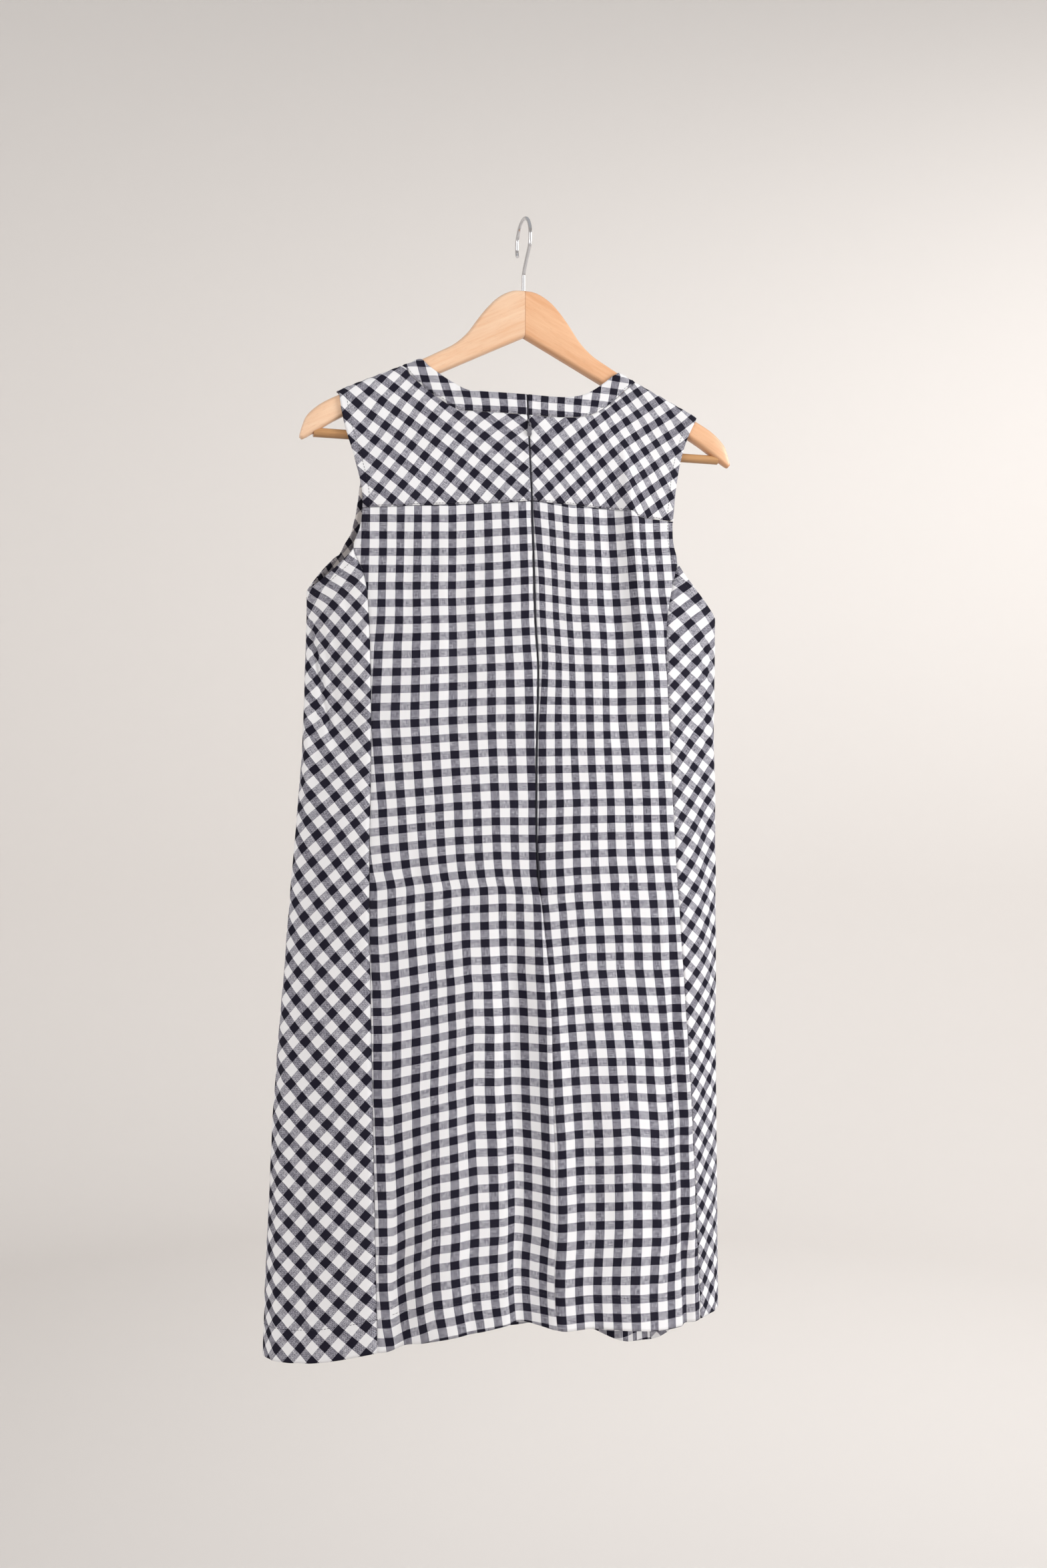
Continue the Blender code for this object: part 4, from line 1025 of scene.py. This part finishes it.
# A row of separate stitches along each line of places, lying on the cloth pieces that it crosses
def layStitches(name, lines, onto):
    for obj in onto:
        if obj.name not in faces:
            data = obj.data
            faces[obj.name] = BVHTree.FromPolygons([v.co for v in data.vertices],
                                                   [face.vertices for face in data.polygons])
    rings = []
    for line in lines:
        path = [surface(turn, flat) for turn, flat in line]
        left = stitch["pitch"] / 2
        for a, b in zip(path, path[1:]):
            span = (b - a).length
            while left < span:
                spot = a.lerp(b, left / span)
                hits = [faces[obj.name].find_nearest(spot) for obj in onto]
                where, out = min((hit for hit in hits if hit[0] is not None), key=lambda hit: hit[3])[:2]
                ahead = ((b - a) - out * (b - a).dot(out)).normalized()
                rings += bead(where, ahead, out, stitch["length"], stitch["width"], stitch["height"])
                left += stitch["pitch"]
            left -= span
    return tubeOf(name, rings, "darkThread", 4)


def spread(a, b, length, step=0.006):
    count = max(2, math.ceil(length / step))
    return [lerp(a, b, k / count) for k in range(count + 1)]


stitches = {}
for side in (-1, 1):
    which = sideName(side)
    shape = sidePlace(side)(1.0)
    armhole = [([sideEdge(side, flat) for flat in spread(stitch["armholeTop"], corner, 0.16)], False),
               ([shape(u) for u in spread(0.02, 0.98, 0.12)], True),
               ([sideEdge(side, flat, True) for flat in spread(corner, stitch["armholeTop"], 0.16)], False)]
    lines = [[inward(edge, k, edgeForm["turned"], side, under) for k in range(len(edge))] for edge, under in armhole]
    stitches["armhole", which] = layStitches("armholeStitches" + which.title(), lines, [
        sheets["backYoke", which], sheets["backPanel", which], sheets["sidePanel", which], sheets["frontPanel"]])
    lines = [[yokeSeam(side, share, stitch["yoke"]) for share in spread(0.01, 0.985, 0.16)]]
    stitches["yoke", which] = layStitches("yokeStitches" + which.title(), lines, [sheets["backYoke", which]])
    lines = [[neckEdge(side, share, False, bandWidth - stitch["band"]) for share in spread(0.02, 0.97, 0.14)]]
    stitches["band", which] = layStitches("bandStitches" + which.title(), lines, [sheets["neckBandBack", which]])
    spans = [(0.006 * side, 0.40 * side), (0.42 * side, 1.45 * side)]
    lines = [[(turn, hem(turn) + edgeForm["hem"]) for turn in spread(a, b, 0.40)] for a, b in spans]
    stitches["hem", which] = layStitches("hemStitches" + which.title(), lines,
                                         [sheets["backPanel", which], sheets["sidePanel", which]])
lines = [[neckEdge(side, share, True, bandWidth - stitch["band"]) for share in spread(0.0, 0.97, 0.20)]
         for side in (-1, 1)]
stitches["band", "front"] = layStitches("bandStitchesFront", lines, [sheets["neckBandFront"]])
lines = [[(turn, hem(turn if turn <= 2 else turn - 4) + edgeForm["hem"]) for turn in spread(1.58, 2.42, 0.36)]]
stitches["hem", "front"] = layStitches("hemStitchesFront", lines, [sheets["frontPanel"]])
print("stitches", sum(len(obj.data.polygons) for obj in stitches.values()))

# The cut of what shows of each piece: width, length and flat area, what it hangs from and the stitches on it
cuts = {
    ("backYoke", "left"): ((0.190, 0.145), 0.0197, ["hanger_arm_left", "front_panel"], [("yoke", "left")]),
    ("backYoke", "right"): ((0.188, 0.146), 0.0187, ["hanger_arm_right", "front_panel"], [("yoke", "right")]),
    ("backPanel", "left"): ((0.185, 0.800), 0.1318, ["back_yoke_left"], [("hem", "left")]),
    ("backPanel", "right"): ((0.178, 0.810), 0.1255, ["back_yoke_right"], [("hem", "right")]),
    ("sidePanel", "left"): ((0.240, 0.800), 0.1472, ["back_panel_left", "front_panel"], [("armhole", "left")]),
    ("sidePanel", "right"): ((0.170, 0.815), 0.1096, ["back_panel_right", "front_panel"], [("armhole", "right")]),
    ("neckBandBack", "left"): ((0.137, 0.022), 0.0027, ["back_yoke_left"], [("band", "left")]),
    ("neckBandBack", "right"): ((0.132, 0.022), 0.0026, ["back_yoke_right"], [("band", "right")]),
    ("facing", "left"): ((0.205, 0.0105), 0.0020, ["front_panel", "side_panel_left"], []),
    ("facing", "right"): ((0.210, 0.0105), 0.0021, ["front_panel", "side_panel_right"], []),
    "frontPanel": ((0.400, 1.000), 0.2974, ["hanger_arm_left", "hanger_arm_right"], [("hem", "front")]),
    "neckBandFront": ((0.320, 0.022), 0.0067, ["front_panel"], [("band", "front")]),
}
for key, (flat, area, under, withIt) in cuts.items():
    [stitches[k] for k in withIt]
    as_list(under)


# Hanger

hanger = {"thick": 0.012, "round": 0.0045, "roundSteps": 6, "start": 0.00015, "tipFrom": 0.2, "tipLength": 0.0235,
          "tipThin": 0.62, "slopeSteps": 50, "tipSteps": 14, "wire": 0.0018, "loop": 0.0205, "shoulder": 118,
          "tip": -112, "loopSteps": 56, "stem": (-0.062, -0.055), "bendReach": 0.012, "bendSteps": 18,
          "bar": 0.0045, "barHeight": -0.2249, "barHalf": 0.2105}


def hangerArm(side):
    tipFrom, tipLength = hanger["tipFrom"], hanger["tipLength"]
    stations = [hanger["start"]]
    stations += [tipFrom * (k + 1) / hanger["slopeSteps"] for k in range(hanger["slopeSteps"])]
    stations += [tipFrom + tipLength * math.sin(math.pi / 2 * (k + 1) / hanger["tipSteps"])
                 for k in range(hanger["tipSteps"])]
    rings = []
    for reach in stations:
        top, low = (read(hangerForm, "reach", column, reach) for column in ("top", "low"))
        beyond = max(0.0, (reach - tipFrom) / tipLength)
        half = hanger["thick"] / 2 * lerp(1.0, hanger["tipThin"], beyond ** 2)
        roundOff = min(hanger["round"], (top - low) * 0.48, half * 0.85)
        ring = []
        for quarter, (y, z) in enumerate(((1, top), (-1, top), (-1, low), (1, low))):
            lift = -1 if z == top else 1
            for k in range(hanger["roundSteps"] + 1):
                angle = math.pi / 2 * (quarter + k / hanger["roundSteps"])
                ring.append(Vector((side * reach, y * (half - roundOff) + roundOff * math.cos(angle),
                                    z + lift * roundOff + roundOff * math.sin(angle))))
        rings.append(ring)
    return tubeOf("hangerArm" + sideName(side).title(), rings, "wood" + sideName(side).title())


def wireRings(path, radius, sides, cross):
    rings = []
    for i, point in enumerate(path):
        ahead = (path[min(i + 1, len(path) - 1)] - path[max(i - 1, 0)]).normalized()
        across = ahead.cross(cross)
        rings.append([point + radius * (math.cos(turn) * cross + math.sin(turn) * across)
                      for turn in [2 * math.pi * k / sides for k in range(sides)]])
    return rings


def hookPath():
    radius = hanger["loop"] + hanger["wire"]
    loop = []
    for k in range(hanger["loopSteps"] + 1):
        angle = math.radians(lerp(hanger["shoulder"], hanger["tip"], k / hanger["loopSteps"]))
        loop.append(Vector((0, -radius * math.sin(angle), -hanger["loop"] + radius * math.cos(angle))))
    stem = [Vector((0, 0, z)) for z in (hangerForm[0]["top"] + seamGap, *hanger["stem"])]
    toward = (loop[0] - loop[1]).normalized()
    bend = []
    for k in range(1, hanger["bendSteps"]):
        t = k / hanger["bendSteps"]
        up = stem[-1] + Vector((0, 0, hanger["bendReach"])) * t
        down = loop[0] + toward * hanger["bendReach"] * (1 - t)
        bend.append(up.lerp(down, ease(t)))
    return stem + bend + loop


for side in (-1, 1):
    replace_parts(hangerArm(side), "hanger_arm_" + sideName(side))
hook = tubeOf("hangerHook", wireRings(hookPath(), hanger["wire"], 16, Vector((1, 0, 0))), "chrome")
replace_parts(hook, "hanger_hook")
barPath = [Vector((hanger["barHalf"] * (k / 20 - 1), 0, hanger["barHeight"])) for k in range(41)]
bar = tubeOf("hangerBar", wireRings(barPath, hanger["bar"], 32, Vector((0, 1, 0))), "barWood")
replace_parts(bar, "hanger_bar")


# Zip

zipTeeth = {"pitch": 0.00125, "length": 0.0013, "width": 0.0008, "height": 0.0005, "sink": 0.0006}
rings = []
height = zipEnd + 0.004
while height < neckBack - 0.003:
    where, out = surface(0.0001, height), faceOut(0.0001, height)
    where.x = read(centre, "height", "reach", height)
    rings += bead(where - out * zipTeeth["sink"], Vector((1, 0, 0)), out, zipTeeth["length"], zipTeeth["width"],
                  zipTeeth["height"])
    height += zipTeeth["pitch"]
coil = tubeOf("zipCoil", rings, "coil", 4)
for name, look in (("zip_tape", "tape"), ("zip_slider", "zipMetal"), ("zip_pull", "zipMetal")):
    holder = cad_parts[name].material_slots[0]
    holder.link = "OBJECT"
    holder.material = looks[look]
print("hanger and zip")


# Lights, camera and floor

def areaLight(name, place, aim, size, power, colour):
    data = bpy.data.lights.new(name, "AREA")
    data.shape = "RECTANGLE"
    data.size, data.size_y = size
    data.energy = power
    data.color = colour
    obj = bpy.data.objects.new(name, data)
    obj.location = place
    obj.rotation_mode = "QUATERNION"
    obj.rotation_quaternion = (Vector(aim) - Vector(place)).to_track_quat("-Z", "Y")
    bpy.context.scene.collection.objects.link(obj)


camera = {"turn": 17.5, "distance": 1.52, "height": -0.561, "lens": 35.0, "longSide": 36.0}
cameraData = bpy.data.cameras.new("camera")
cameraData.lens = camera["lens"]
cameraData.sensor_fit = "AUTO"
cameraData.sensor_width = camera["longSide"]
cameraObject = bpy.data.objects.new("camera", cameraData)
turn = math.radians(camera["turn"])
look = Vector((math.sin(turn), math.cos(turn), 0))
cameraObject.location = Vector((0, 0, camera["height"])) - look * camera["distance"]
cameraObject.rotation_euler = look.to_track_quat("-Z", "Y").to_euler()
bpy.context.scene.collection.objects.link(cameraObject)
bpy.context.scene.camera = cameraObject

stageSizes = {"floor": -1.80, "radius": 3.6, "bend": 0.9, "top": 3.4, "bendSteps": 12, "around": 96}
flatEnd = stageSizes["radius"] - stageSizes["bend"]
profile = [(0.0, stageSizes["floor"]), (flatEnd, stageSizes["floor"])]
for k in range(1, stageSizes["bendSteps"] + 1):
    angle = math.pi / 2 * k / stageSizes["bendSteps"]
    profile.append((flatEnd + stageSizes["bend"] * math.sin(angle),
                    stageSizes["floor"] + stageSizes["bend"] * (1 - math.cos(angle))))
profile.append((stageSizes["radius"], stageSizes["top"]))
mesh = bmesh.new()
line = [mesh.verts.new((x, 0, z)) for x, z in profile]
edges = [mesh.edges.new(pair) for pair in zip(line, line[1:])]
bmesh.ops.spin(mesh, geom=line + edges, cent=(0, 0, 0), axis=(0, 0, 1), angle=2 * math.pi, steps=stageSizes["around"],
               use_merge=True, use_duplicate=False)
bmesh.ops.remove_doubles(mesh, verts=mesh.verts, dist=0.0005)
bmesh.ops.recalc_face_normals(mesh, faces=mesh.faces)
data = bpy.data.meshes.new("floor")
mesh.to_mesh(data)
mesh.free()
data.shade_smooth()
floorShader = Shader("paper", 0.95, Specular_IOR_Level=0.1)
data.materials.append(floorShader.finish((0.69, 0.66, 0.635)))
floor = bpy.data.objects.new("floor", data)
bpy.context.scene.collection.objects.link(floor)

areaLight("key", (2.6, -1.35, 0.3), (0, 0, -0.55), (1.3, 1.9), 74, (0.97, 0.985, 1.0))
areaLight("fill", (-2.1, -1.9, 0.1), (0, 0, -0.7), (1.8, 2.2), 32, (0.96, 0.98, 1.0))
areaLight("wallLight", (1.4, 0.9, 0.6), (1.3, 3.4, -0.7), (2.6, 2.2), 44, (1.0, 0.995, 0.99))
world = bpy.data.worlds.new("studio")
world.use_nodes = True
world.node_tree.nodes["Background"].inputs[0].default_value = (0.97, 0.985, 1.0, 1)
world.node_tree.nodes["Background"].inputs[1].default_value = 0.49
bpy.context.scene.world = world
bpy.context.scene.view_settings.view_transform = "Standard"
print("stage")
